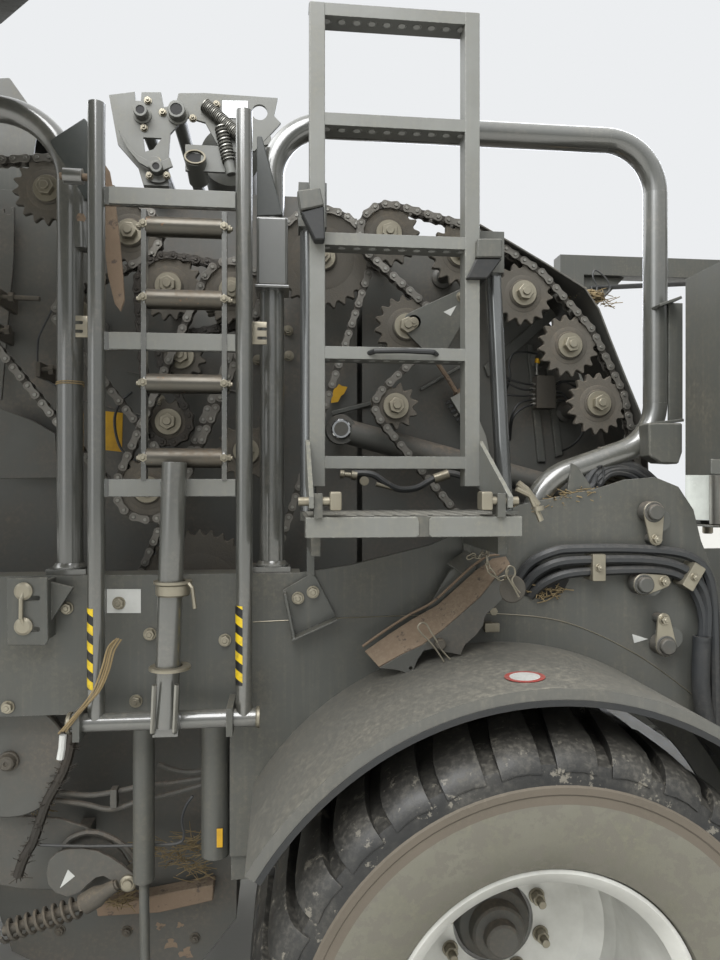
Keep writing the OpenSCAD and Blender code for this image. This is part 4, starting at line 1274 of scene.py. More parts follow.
class BALER_OT_side_plate(bpy.types.Operator):
    """Bolts, lock tabs, hoses, clamps and brackets on the side frame's plate"""

    bl_idname = "baler.side_plate"
    bl_label = "Side plate fittings"

    def execute(self, context):
        bolt = hex_nut("frame_bolt", 24, 11, 14, 2, 34, 3)
        spots = [at(seen(pixel, SIDE), LEFT, pixel[0] % 60) for pixel in FRAME_BOLTS]
        spots += [at((x, SIDE, z), LEFT, x % 50) for x in (1420, 1760, 2180, 2560) for z in (930, 1400)]
        spots += [
            at((x, SIDE, z), LEFT, x % 50)
            for x in (-1000, -1300, -1600, -1850) for z in (1300, 1575)
        ]
        spots += [at(seen(pixel, SIDE - 14), LEFT, 10) for pixel in BENT_BOLTS]
        dress(both(copies("frame_bolts", bolt, spots)), "zinc_plate")
        tabs = []
        pins = []
        for centre, end in PIN_BOSSES:
            a = seen(centre, -1060)
            b = seen(end, -1060)
            pins.append(turned("boss_pin", [
                (0, 0), (30, 0), (30, 34), (27, 38), (22, 38), (22, 50), (19, 53), (0, 53),
            ], (a.x, -1036, a.z), LEFT, 36))
            on = (b - a).normalized()
            away = Vector((-on.z, 0, on.x))
            corners = []
            for k in range(9):
                angle = math.radians(90 + k * 22.5)
                corners.append(a + on * 30 * math.cos(angle) + away * 30 * math.sin(angle))
            for k in range(9):
                angle = math.radians(-90 + k * 22.5)
                corners.append(b + on * 18 * math.cos(angle) + away * 18 * math.sin(angle))
            tabs.append(plate("lock_tab", [(c.x, c.z) for c in corners], -1072, 8, 1))
            tabs.append(copies("tab_bolt", bolt, [at((b.x, -1072, b.z), LEFT, 25, 0.9)]))
            pins.append(turned("tab_stand", disc(14, 34), (b.x, SIDE, b.z), LEFT, 20))
        drop(bolt)
        fit_both("boss_pins", pins, "grimy_coat")
        fit_both("lock_tabs", tabs, "zinc_plate")
        dress(plate("blank_plate", flat(NAME_PLATE, SIDE), SIDE - 1.5, 1.4, 0.3), "white_vinyl")
        mark = plate("white_mark", flat(MARK, SIDE), SIDE - 0.6, 0.5, 0)
        dress(mark, "white_vinyl")
        slotted = plate("slotted_plate", flat(SLOTTED_PLATE, SIDE - 60), SIDE - 66, 8, 2)
        for v in (598, 629):
            a = seen((26, v), SIDE - 60)
            b = seen((41, v), SIDE - 60)
            cut(slotted, block("slot", (a.x, SIDE - 80, a.z - 6), (b.x, SIDE - 50, a.z + 6), 5))
        gusset = plate("bracket_gusset", flat(GUSSET, SIDE - 30), SIDE - 34, 8, 1.5)
        web = seen((48, 580), SIDE - 60)
        web_low = seen((48, 640), SIDE - 60)
        spine = block("bracket_web", (web.x - 8, SIDE - 64, web_low.z), (web.x, SIDE, web.z), 1.5)
        fit_both("slotted_bracket", [slotted, gusset, spine], "powder_coated_steel")
        grip = tube(
            "bracket_grip",
            bent([seen(pixel, SIDE - y) for pixel, y in zip(HANDLE, (70, 90, 90, 70))], 18, 5), 11,
        )
        rounds = [
            turned(
                "grip_washer", [(0, 0), (22, 0), (22, 6), (16, 10), (0, 10)], seen(pixel, SIDE - 66), LEFT,
                28,
            )
            for pixel in (HANDLE[0], HANDLE[3])
        ]
        fit_both("bracket_grips", [grip] + rounds, "zinc_plate")
        face = plate("bent_bracket", flat(BENT_FACE, SIDE - 8), SIDE - 12, 10, 1)
        wing_a = seen((284, 592), SIDE - 8)
        wing_b = seen((293, 636), SIDE - 8)
        wing = plate("bent_wing", [
            (wing_a.x, wing_a.z), (wing_a.x + 6, wing_a.z + 2), (wing_b.x + 6, wing_b.z),
            (wing_b.x, wing_b.z),
        ], SIDE - 50, 45, 1)
        low_a = seen((292, 636), SIDE - 8)
        low_b = seen((336, 616), SIDE - 8)
        shelf = plate("bent_shelf", [
            (low_a.x, low_a.z), (low_b.x, low_b.z), (low_b.x - 2, low_b.z - 6), (low_a.x - 2, low_a.z - 6),
        ], SIDE - 55, 52, 1)
        fit_both("bent_brackets", [face, wing, shelf], "powder_coated_steel")
        # A black sheet over the hose hole: painted shade inside it
        hole = plate("hose_hole_shade", flat(HOSE_HOLE, SIDE), SIDE - 0.8, 1, 0)
        dress(both(hole), "bore_shade_black")
        hoses = []
        for pixels, lift in zip(HOSES, (34, 36, 30)):
            planes = [SIDE + 6, SIDE - 14] + [SIDE - lift] * (len(pixels) - 2)
            hoses.append(tube("side_hose", line(pixels, planes), 27, 14, smooth=6))
        fit_both("side_hoses", hoses, "hose_rubber")
        clamps = []
        for pixel, tilt in zip(CLAMPS, (0, 32)):
            a = seen(pixel, SIDE - 34)
            clamp = block("hose_clamp", (-19, -56, -37), (19, 0, 37), 4)
            head = copies("clamp_bolt", small_bolt(), [at((0, -56, 0), LEFT, 12)])
            model = joined("clamp_model", [clamp, head])
            turn = Matrix.Rotation(math.radians(tilt), 4, "Y")
            clamps.append(copies(
                "clamp_set", model, [Matrix.Translation(Vector((a.x, SIDE, a.z)) / 1000) @ turn],
            ))
            drop(model)
        fit_both("hose_clamps", clamps, "zinc_plate")
        path = curved(line(CONDUIT, SIDE - 36), 22)
        ring = [(20, 0), (24, 1), (24, 5), (20, 6), (19, 6), (19, 0)]
        conduit = [turned("conduit_ring", ring, a, b - a, 20) for a, b in zip(path, path[1:])]
        fit_both("conduit", conduit, "hose_rubber")
        seam = tube("plate_seam", line(SEAM, SIDE), 3, 6, smooth=8)
        dress(both(seam), "zinc_plate")
        return {"FINISHED"}


def small_bolt():
    """A small bolt head, made at its first use and shared by the steps."""
    if "small_bolt" not in bpy.data.objects:
        hex_nut("small_bolt", 17, 9, 10, 2, 24, 2)
    return bpy.data.objects["small_bolt"]


# Net unit: bushes, bearing and springs on its side plates

NET = -712
NET_BUSHES = (((142.5, 115.5), 13), ((178, 115), 18), ((158, 171.3), 11))
NET_BOLTS = (
    (148, 101), (162.7, 112.8), (193, 118.8), (144.2, 128.2), (206.9, 106.8), (216.6, 104.8), (157, 161),
)
BEARING_BOLTS = ((149.6, 176), (166.7, 175.8))
HOOK = ((118, 128), (126, 142), (136, 154), (148, 161), (158, 163), (170, 158))


class BALER_OT_net_unit(bpy.types.Operator):
    """Bushes, bolts, bearing, springs and the hooked arm of the net unit"""

    bl_idname = "baler.net_unit"
    bl_label = "Net unit fittings"

    def execute(self, context):
        rings = []
        bore_shade_discs = []
        for pixel, bore in NET_BUSHES:
            place = seen(pixel, NET)
            rings.append(turned("net_bush", [
                (bore, 0), (bore + 14, 0), (bore + 14, 5), (bore + 8, 7), (bore + 8, 33), (bore + 6, 36),
                (bore, 36),
            ], place, LEFT, 36))
            # Black discs in the bushes' bores: painted shade
            bore_shade_discs.append(turned("bush_bore_shade", disc(bore, 34), place, LEFT, 28))
        low = seen((158, 173), NET)
        oval = [
            (low.x + 34 * math.cos(turn), low.z - 8 + 26 * math.sin(turn))
            for turn in [math.tau * k / 28 for k in range(28)]
        ]
        rings.append(plate("bearing_plate", oval, NET - 9, 9, 1.5))
        hook = strip(
            "hook_arm", line(HOOK, NET - 20), [seen((u + 3, v + 9), NET - 20) for u, v in HOOK], 8, 1,
        )
        fit_both("net_fittings", rings + [hook], "painted_sky_light_coat")
        fit_both("net_bore_shade", bore_shade_discs, "bore_shade_black")
        bolt = hex_nut("net_bolt", 17, 8, 9, 4, 24, 2)
        spots = line(NET_BOLTS, NET) + line(BEARING_BOLTS, NET - 10)
        dress(both(bolts("net_bolts", bolt, spots)), "zinc_plate")
        patch = plate(
            "net_patch", flat(((222, 100.5), (248, 101), (248, 119), (222, 118)), NET - 1), NET - 2.5, 2,
            0.5,
        )
        dress(both(patch), "hand_rail")
        drop(bolt)
        coils = [
            spring("net_spring", (-242, -722, 3010), (-136, -722, 2917), 19, 4, 26),
            spring("net_spring", (-191, -722, 2945), (-168, -722, 2838), 19, 6, 11),
        ]
        fit_both("net_springs", coils, "bare_steel")
        mouth = turned(
            "pipe_mouth", [(27, 0), (32, 0), (32.5, 3), (32, 6), (27, 6)], (-269.3, -725, 2843.5),
            (7, -122, 67), 36,
        )
        # A black disc in the pipe's mouth: painted shade
        inner = turned("pipe_inner_shade", disc(27, 1), (-269.2, -722.6, 2842.4), (7, -122, 67), 36)
        dress(both(mouth), "zinc_plate")
        dress(both(inner), "bore_shade_black")
        return {"FINISHED"}


# What shows on the chamber's wall between the chains

WALL_BOLTS = (
    (290, 241.6), (290.9, 281), (288, 330.6), (288.8, 356), (262, 300), (258, 360), (225, 390), (160, 400),
)
TENSIONER = (
    (403, 322), (406, 315), (413, 311), (461, 289), (472, 290), (466, 316), (446, 352), (425, 352),
    (407, 334),
)
TENSION_MARK = ((443.5, 312), (456.3, 305.7), (450.5, 316))
TORN_PATCH = (
    (331, 387), (336, 388), (339, 384), (342, 386), (347.5, 387), (344, 394), (341, 396), (338, 402),
    (331, 403), (331.5, 396),
)
SPINE_BARS = (
    ((527, 344), (533, 344), (546, 462), (538, 462)),
    ((543, 338), (550, 338), (563, 455), (556, 457)),
)
CROSS_BARS = (
    ((484, 366), (556, 304), (562, 312), (488, 377)),
    ((332, 411), (372, 401), (373, 405), (332, 416)),
    ((420, 388), (462, 364), (463, 367), (421, 391)),
)
BLADE = ((450, 398), (466, 389), (486, 436), (489, 452), (484, 452), (470, 432))
BLADE_TEETH = 11
GREASE_Y = -700
BLOCK = ((535.7, 376), (554.8, 408.5))
LEFT_LINES = (
    ((535, 384.6), (524, 383.6), (509, 379), (500, 372)),
    ((535, 389.4), (522, 389.4), (509, 383.6), (500, 376)),
    ((535, 395), (522, 396), (509, 395), (496, 394)),
    ((535, 399), (520, 403), (512, 415), (508, 436)),
    ((535, 404), (523, 408), (513, 418), (510, 440)),
    ((537, 354), (524, 352), (513, 354), (509, 365), (510, 379), (502, 398)),
)
RIGHT_LINES = (
    ((555, 382.7), (572, 380.8), (586, 384.6), (594, 390)),
    ((555, 386.5), (564, 382), (578, 388), (590, 392)),
    ((555, 392.2), (563, 393), (572, 404), (590, 412)),
    ((555, 396), (564, 396), (574, 406), (590, 418)),
    ((555, 400), (565, 401), (576, 408), (584, 428), (574, 444), (560, 452)),
)


class BALER_OT_wall(bpy.types.Operator):
    """Tensioner, bars, blade, grease block with its lines and bolts on the chamber's wall"""

    bl_idname = "baler.wall"
    bl_label = "Chamber wall fittings"

    def execute(self, context):
        bolt = hex_nut("wall_bolt", 24, 12, 14, 3, 34, 3)
        spots = line(WALL_BOLTS, -WALL)
        dress(both(bolts("wall_bolts", bolt, spots)), "zinc_plate")
        arm = plate("tensioner", flat(TENSIONER, -920), -925, 10, 1.5)
        carry = [
            turned("tensioner_spacer", disc(20, 15), seen((413, 323), -910), LEFT, 28),
            turned("tensioner_post", disc(19, 269), seen((462, 297), -650), LEFT, 28),
        ]
        fit_both("tensioners", [arm] + carry, "powder_coated_steel", "tailgate")
        ends = bolts("tensioner_bolts", bolt, [seen((413, 323), -925), seen((462, 297), -925)])
        dress(both(ends), "zinc_plate", "tailgate")
        drop(bolt)
        mark = plate("tensioner_mark", flat(TENSION_MARK, -925), -925.7, 0.6, 0)
        dress(mark, "white_vinyl", "tailgate")
        torn = plate("torn_patch", flat(TORN_PATCH, -653), -653.8, 0.8, 0)
        dress(torn, "yellow_vinyl", "tailgate")
        bars = [plate("wall_bar", flat(points, -664), -664, 12, 2) for points in SPINE_BARS]
        bars += [plate("wall_bar", flat(points, -666), -668, 16, 2) for points in CROSS_BARS]
        fit_both("wall_bars", bars, "powder_coated_steel", "tailgate")
        blade = plate("scraper_blade", flat(BLADE, GREASE_Y), -703, 5, 1)
        teeth = []
        a = seen((449, 400), GREASE_Y)
        b = seen((478, 446), GREASE_Y)
        on = (b - a) / BLADE_TEETH
        away = Vector((-on.z, 0, on.x)).normalized() * -16
        for k in range(BLADE_TEETH):
            corner = a + on * k
            corners = [corner, corner + on * 0.62, corner + on * 0.5 + away, corner + on * 0.1 + away]
            teeth.append(plate("blade_tooth", [(c.x, c.z) for c in corners], -702, 4, 0.6))
        rod = tube("blade_rod", line(((438, 364), (447, 377), (456, 392)), -706), 15)
        stand = turned("blade_stand", disc(12, 50), seen((457, 394), -652), LEFT, 20)
        dress(both(blade), "bare_steel", "tailgate")
        fit_both("blade_teeth", teeth, "tread_rubber", "tailgate")
        fit_both("blade_rods", [rod, stand], "rusty_plate", "tailgate")
        low = seen((BLOCK[0][0], BLOCK[1][1]), GREASE_Y)
        high = seen((BLOCK[1][0], BLOCK[0][1]), GREASE_Y)
        body = block("grease_block", (low.x, -712, low.z), (high.x, -664, high.z), 3)
        clips = [
            block("line_clip", (x, -664, low.z + 20), (x + 16, -650, low.z + 50))
            for x in (low.x, high.x - 16)
        ]
        fit_both("grease_block", [body] + clips, "dusty_cast_steel", "tailgate")
        lines = []
        ends = []
        for pixels in LEFT_LINES + RIGHT_LINES:
            planes = [-700] + [-712] * (len(pixels) - 2) + [-652]
            lines.append(tube("grease_line", line(pixels, planes), 7, 8, smooth=6))
        for pixels in LEFT_LINES[:5] + RIGHT_LINES:
            a = seen(pixels[0], GREASE_Y)
            b = seen(pixels[1], GREASE_Y)
            ends.append(turned("line_nut", [(0, 0), (6, 0), (6, 12), (4, 18), (0, 18)], a, b - a, 6))
        fit_both("grease_lines", lines, "moulded_plastic", "tailgate")
        top = seen((537, 375), GREASE_Y)
        ends.append(turned(
            "line_stem", [(0, 0), (7, 0), (7, 10), (4.5, 12), (4.5, 40), (0, 40)], top, UP, 16,
        ))
        fit_both("line_nuts", ends, "bare_steel", "tailgate")
        cap = turned(
            "line_tag", [(0, 0), (8, 0), (8, 14), (5, 16), (0, 16)], top + Vector((0, 0, 38)), (0.2, 0, 1),
            16,
        )
        dress(both(cap), "yellow_vinyl", "tailgate")
        pin = turned(
            "barrel_pins", [(0, 0), (30, 0), (30, 3), (27, 5), (0, 5)], (171, -788, 2019), LEFT, 36,
        )
        dress(both(pin), "hard_chrome")
        return {"FINISHED"}


# Left part of the wall, behind the front hoop

SPINDLES = (((0, 297), (40, 299)), ((40, 370), (58, 368)), ((-4, 330), (10, 331)))
WALL_WIRE = ((57, 300), (48, 318), (42, 330), (38, 342), (38, 366), (44, 378), (56, 386))
FAR_WIRE = ((132, 392), (121, 402), (115, 416), (116, 434), (122, 450), (136, 462))
SIGN = ((104, 411), (123, 413), (122, 452), (104, 450))
WALL_EDGE = ((0, 210), (15, 207), (14, 262), (2, 400), (0, 400))
LOW_PANEL = ((0, 408), (34, 421), (56, 434), (58, 478), (0, 479))
EYE_HOLE = (8.6, 211)
WALL_RIBS = (((60, 395), (160, 420)), ((128, 372), (236, 392)), ((60, 430), (110, 478)))


class BALER_OT_left_wall(bpy.types.Operator):
    """Spindles, wires, panels and the blank plate behind the front hoop"""

    bl_idname = "baler.left_wall"
    bl_label = "Left wall fittings"

    def execute(self, context):
        rods = []
        for a, b in SPINDLES:
            start = seen(a, -760)
            rods.append(tube("spindle", [start, seen(b, -760)], 15, 16))
            rods.append(turned("spindle_nut", disc(15, 14), start + Vector((26, 0, 0)), BACK, 6))
            rods.append(block(
                "spindle_lug", (start.x - 8, -776, start.z - 22), (start.x + 6, -622, start.z + 22),
            ))
        fit_both("spindles", rods, "dusty_cast_steel")
        wires = [
            tube("wall_wire", line(WALL_WIRE, -700), 6, 8, smooth=6),
            tube("wall_wire", line(FAR_WIRE, -660), 9, 8, smooth=6),
        ]
        fit_both("wall_wires", wires, "hose_rubber")
        dress(both(plate("blank_sign", flat(SIGN, -WALL), -WALL - 1.5, 1.4, 0.3)), "yellow_vinyl")
        panels = [
            plate("edge_plate", flat(WALL_EDGE, -660), -664, 10, 1.5),
            plate("low_panel", flat(LOW_PANEL, -700), -705, 8, 1.5),
            block("panel_stay", (-1000, -700, 2020), (-960, -630, 2050)),
        ]
        hole = seen(EYE_HOLE, -660)
        cut(panels[0], turned("hole", disc(13, 40), hole + Vector((0, 20, 0)), LEFT, 24))
        fit_both("wall_panels", panels, "grimy_coat")
        ribs = [tube("wall_rib", line(ends, -WALL), 9, 8) for ends in WALL_RIBS]
        fit_both("wall_ribs", ribs, "grimy_coat")
        return {"FINISHED"}


# Rim of the tailgate, and what hangs beside the rear hoop

RIM_LINE = (
    (479, 224), (512, 243), (547, 264), (585, 288), (599, 309), (612, 343), (626, 378), (640, 412),
    (647, 446), (648, 478),
)
WIRE_LOOP = ((596, 292), (597, 286), (593, 278), (594, 271), (599, 272), (607, 280), (610, 289), (604, 296))
HOSE_ARCH = (
    ((590, 492), (597, 474), (610, 467), (626, 468), (640, 476), (652, 486)),
    ((584, 486), (594, 470), (608, 463), (628, 464), (642, 470), (654, 480)),
    ((593, 498), (602, 480), (612, 473), (626, 474), (638, 481), (648, 490)),
    ((588, 489), (600, 477), (612, 470), (630, 470), (644, 478), (656, 488)),
)
TIE_LOOP = ((598, 468), (602, 466), (604, 474), (601, 484), (597, 482), (597, 474))
LOW_GUSSET = ((571, 463), (577, 466), (593, 490), (591, 500), (566, 496))
BOX_EDGES = (((660, 305), (682, 297)), ((650, 424), (684, 420)))
BOX_BACK = ((668, 303), (682, 421))
DECK_CROP = ((532, 510), (548, 503), (560, 500), (574, 494), (588, 492))
LOW_HOSE = (
    (352, 474), (362, 473), (374, 475), (386, 483), (399, 489), (416, 488), (431, 480), (447, 473),
    (466, 477),
)
PIN_Y = -1395
VALVE_Y = -1090
BOX_FACE = ((648, 423), (682, 423), (682, 452), (678, 464), (660, 463), (649, 456))


class BALER_OT_rear_side(bpy.types.Operator):
    """Rim plate, hose arch, brackets, crop and wire behind the ladder"""

    bl_idname = "baler.rear_side"
    bl_label = "Rear side fittings"

    def execute(self, context):
        outer = line(RIM_LINE, -925)
        inner = [Vector((place.x, -655, place.z)) for place in outer]
        rim = strip("gate_rim", outer, inner, 5, 1)
        dress(both(rim), "grimy_coat", "tailgate")
        wire = tube("wire_loop", line(WIRE_LOOP, -860), 5, 8, smooth=6)
        dress(wire, "hose_rubber", "tailgate")
        rag = clod("crop_clod", seen((590, 297), -830), 30, 3, (1.5, 1.2, 0.6))
        rag_two = clod("crop_clod", seen((577, 296), -820), 18, 8, (1.5, 1, 0.6))
        strands = scatter(
            "clod_stalks", [seen((588, 297), -845), seen((598, 302), -840)], (42, 30, 16), 46, 60, 2.4, 11,
        )
        fit("gate_clod", [rag, rag_two, strands], "dry_crop", "tailgate")
        hoses = [tube("arch_hose", line(pixels, (-1004, -1000, -992, -984, -976, -970)), 22, smooth=6)
                 for pixels in HOSE_ARCH]
        fit_both("arch_hoses", hoses, "hose_rubber")
        tie = tube("hose_tie", line(TIE_LOOP, (-1014, -1010, -1016, -1018, -1016, -1014)), 5, 8, smooth=5)
        dress(both(tie), "moulded_plastic")
        fin = plate("low_gusset", flat(LOW_GUSSET, -1012), -1016, 10, 1.5)
        dress(both(fin), "powder_coated_steel")
        face = plate("box_bracket", flat(BOX_FACE, -1060), -1064, 60, 4)
        dress(both(face), "powder_coated_steel")
        upper = []
        for edge in BOX_EDGES:
            near = line(edge, -1050)
            upper.append(strip("box_shelf", near, [place + Vector((0, 90, 0)) for place in near], 8, 1))
        high, low = line(BOX_BACK, -1000)
        corners = [(high.x, high.z), (low.x, high.z), (low.x, low.z), (high.x, low.z)]
        upper.append(plate("box_back", corners, -1004, 8, 1))
        fit_both("box_brackets", upper, "powder_coated_steel")
        crop = line(DECK_CROP, -1000)
        bed = scatter("deck_crop", crop, (34, 26, 8), 150, 70, 2.6, 5)
        lumps = [
            clod("deck_lump", place + Vector((0, 8, 2)), 15, k + 2, (1.6, 1.3, 0.5))
            for k, place in enumerate(crop)
        ]
        fit("deck_crop", [bed] + lumps, "dry_crop")
        inside = scatter(
            "hatch_crop", [seen((552, 590), SIDE), seen((545, 594), SIDE)], (34, 8, 16), 40, 55, 3, 9,
        )
        dress(inside, "dry_crop")
        pin = tube("t_pin", bent([
            seen((518, 483), PIN_Y), seen((531, 482), PIN_Y), seen((538, 505), PIN_Y),
        ], 16, 5), 15)
        collar = turned("t_pin_collar", disc(13, 10), seen((538, 506), PIN_Y), (0.1, 0, -1), 20)
        fit("t_pins", [pin, collar], "zinc_plate")
        hose = tube("low_hose", line(LOW_HOSE, VALVE_Y), 17, smooth=6)
        dress(hose, "hose_rubber")
        valve = [
            turned("valve", [(0, 0), (11, 0), (11, 10), (7, 12), (7, 28), (12, 30), (12, 44), (0, 44)],
                   seen((340, 474), VALVE_Y), (1, 0, -0.1), 20),
            turned("valve_pin", disc(6, 50), seen((376, 484), VALVE_Y), (1, 0, -0.25), 16),
            turned(
                "valve_body", [(0, -12), (12, -10), (12, 10), (0, 12)], seen((364, 481), VALVE_Y), RIGHT,
                20,
            ),
            turned("hose_sleeve", disc(13, 40), seen((434, 479), VALVE_Y), (1, 0, 0.35), 20),
        ]
        fit("low_valve", valve, "zinc_plate")
        return {"FINISHED"}


# Wheel chock, with its chain and clips

CHOCK_TOP = (
    (365, 651.6), (388.5, 635), (412.7, 619.4), (437, 606), (458.8, 586.6), (475.7, 571), (492.7, 559),
    (506, 557),
)
CHOCK_LOW = (
    (379, 667), (400.6, 655), (422.4, 645), (443, 629.5), (463, 612), (480, 597), (496, 577), (510, 564),
)
CHOCK_FACE = (
    (378.8, 667.8), (398, 670), (412.7, 675), (414, 668), (417.6, 659.4), (423.6, 650.5), (434, 648),
    (444, 652), (452, 653), (461, 655), (462, 650), (464.8, 644.8), (475.7, 635), (483, 625.4), (484, 618),
    (487, 613), (495, 606), (501, 600), (507, 585), (496, 577), (480, 597), (463, 612), (443, 629.5),
    (422.4, 645), (400.6, 655),
)
CLIP_ONE = (
    (444, 662), (437, 651), (429, 641), (421, 633), (418, 627), (421, 623), (426, 624), (431, 632),
    (436, 640), (441, 649), (446, 655), (450, 659),
)
CLIP_TWO = (
    (519, 597), (513, 586), (508, 578), (506, 571), (509, 566), (514, 568), (515, 574), (512, 580),
    (516, 588), (520, 593),
)
CHAIN_RUN = (
    (467, 561), (472, 556), (479, 557), (486, 550), (487, 558), (488, 566), (492, 573), (498, 578),
    (505, 577), (508, 570),
)
GREY_PLATE = ((447, 563.6), (461, 573.5), (483, 560), (467, 549))
CHOCK_Y = -1150
HOLDER = ((449, 571), (456, 566), (476, 566), (462, 600), (446, 634), (425, 613))


class BALER_OT_chock(bpy.types.Operator):
    """Wheel chock, its holder, clips and chain"""

    bl_idname = "baler.chock"
    bl_label = "Wheel chock"

    def execute(self, context):
        top = strip("chock_web", line(CHOCK_TOP, -1084), line(CHOCK_LOW, -1148), 5, 0.8)
        crest = line(CHOCK_TOP, -1146)
        ridge = tube("chock_ridge", [place + Vector((0, 60, 0)) for place in crest], 7, 8, smooth=4)
        dress(joined("wheel_chock_web", [top, ridge]), "rusty_plate", stands_for=("wheel_chock",))
        face = plate("wheel_chock_face", flat(CHOCK_FACE, CHOCK_Y), -1153, 5, 0.8)
        hole = seen((410.7, 668), CHOCK_Y)
        cut(face, turned("hole", disc(5, 30), hole + Vector((0, 14, 0)), LEFT, 18))
        back = plate("chock_back", flat(CHOCK_FACE, CHOCK_Y), -1086, 5, 0.8)
        fit("wheel_chock_sides", [face, back], "grimy_coat")
        end = seen((512, 589), CHOCK_Y)
        wheel = turned(
            "chock_end", [(0, 0), (34, 0), (36, 2), (36, 8), (33, 10), (0, 10)], end + Vector((0, 6, 0)),
            LEFT, 40,
        )
        pin = turned(
            "chock_pin", [(0, -60), (14, -60), (14, 18), (11, 22), (0, 22)], seen((439.4, 643), CHOCK_Y),
            LEFT, 28,
        )
        fit("wheel_chock_end", [wheel, pin], "dusty_cast_steel")
        clips = [
            tube("spring_clip", line(pixels, -1170), 4.5, 8, smooth=5)
            for pixels in (CLIP_ONE, CLIP_TWO)
        ]
        link = tube("chain_link", [
            Vector((7 * math.cos(a) + (6 if math.cos(a) > 0 else -6), 5.5 * math.sin(a), 0))
            for a in [math.tau * k / 18 for k in range(18)]
        ], 3.6, 8, closed=True)
        path = curved(
            line(CHAIN_RUN, (-1120, -1126, -1140, -1120, -1150, -1160, -1162, -1164, -1166, -1172)), 8,
        )
        spots = []
        travelled = 0.0
        turn = 0
        for a, b in zip(path, path[1:]):
            travelled += (b - a).length
            if travelled >= 17:
                travelled -= 17
                basis = facing(b - a) @ Matrix.Rotation(math.radians(90 * (turn % 2) + 20), 4, "Z")
                basis = basis @ Matrix.Rotation(math.pi / 2, 4, "Y")
                spots.append(Matrix.Translation(a / 1000) @ basis)
                turn += 1
        run = copies("chock_chain", link, spots)
        drop(link)
        fit("chock_chain_and_clips", clips + [run], "zinc_plate")
        front = line(GREY_PLATE[:2], -1098)
        rear = [seen(GREY_PLATE[3], -1034), seen(GREY_PLATE[2], -1034)]
        shelf = strip("chock_shelf", front, rear, 5, 1)
        holder = plate("chock_holder", flat(HOLDER, -1066), -1070, 7, 1.5)
        stay = block("chock_stay", (470, -1066, 1560), (540, SIDE, 1618))
        fit("chock_holder", [shelf, holder, stay], "powder_coated_steel")
        lug = block("chock_lug", (534, -1075, 1455), (575, -1060, 1480), 3)
        nut = seen((493, 611), -1075)
        head = turned("lug_bolt", disc(11, 9), nut, LEFT, 6)
        bridge = block("lug_stay", (540, -1062, 1458), (566, SIDE, 1477))
        fit("chock_lugs", [lug, head, bridge], "zinc_plate")
        return {"FINISHED"}


# Lower left, ahead of the front wheel

KIDNEY = (
    (47, 872), (49, 860), (57, 852), (68, 848), (82, 847), (98, 850), (112, 857), (124, 865), (133, 872),
    (136, 880), (134, 888), (127, 891), (119, 887), (112, 880), (104, 875), (96, 877), (88, 884),
    (80, 892), (68, 896), (56, 892), (49, 884),
)
KIDNEY_ARC = ((62, 848), (70, 839), (84, 833), (98, 833), (112, 838), (124, 846), (134, 858), (141, 872))
KIDNEY_MARK = ((68, 869.5), (75, 876), (60, 888))
DRIVE_GUARD = (
    (0, 816), (30, 816), (60, 818), (85, 826), (106, 838), (122, 852), (132, 868), (128, 884), (100, 892),
    (60, 890), (20, 888), (0, 884),
)
LOW_RODS = (
    ((60, 792), (90, 795), (118, 791), (142, 786), (170, 783), (208, 777)),
    ((56, 800), (85, 804), (112, 809), (142, 800), (170, 794), (208, 783)),
    ((158, 764), (175, 770), (192, 772), (208, 769)),
)
LOW_WIRE = ((40, 845), (90, 846), (150, 845), (178, 843), (184, 835), (182, 820), (186, 806), (193, 796))
GREASY_RUN = (
    (74, 722), (71, 745), (66, 765), (58, 782), (48, 800), (40, 822), (33, 842), (24, 858), (18, 876),
)
HOSE_TURN = (
    ((234, 664), (222, 667), (205, 674), (190, 680), (180, 682)),
    ((234, 669), (220, 673), (204, 679), (190, 685), (181, 685)),
    ((234, 674), (220, 680), (204, 684), (190, 687), (182, 686)),
)
ROPE = ((118, 640), (111, 650), (106, 668), (98, 688), (88, 702), (76, 716), (62, 733))
ROPE_END = ((63, 735), (62, 748), (60, 759))
ROD_CLIP = ((115, 805), (115, 787))
PACKED_CROP = ((150, 850), (175, 858), (196, 870), (120, 898), (185, 840), (204, 850), (8, 806), (40, 806))
RUSTY_BEAM = ((96, 904), (130, 900), (180, 890), (214, 884), (213, 900), (160, 912), (98, 916))
FLOOR_BOLTS = ((127, 931), (195, 938), (60, 930))
SPRING_Y = -950
ROPE_Y = -1168
RUST_SPOTS = ((127, 931, 9), (160, 926, 8), (180, 925, 6), (171, 944, 11), (186, 953, 12))


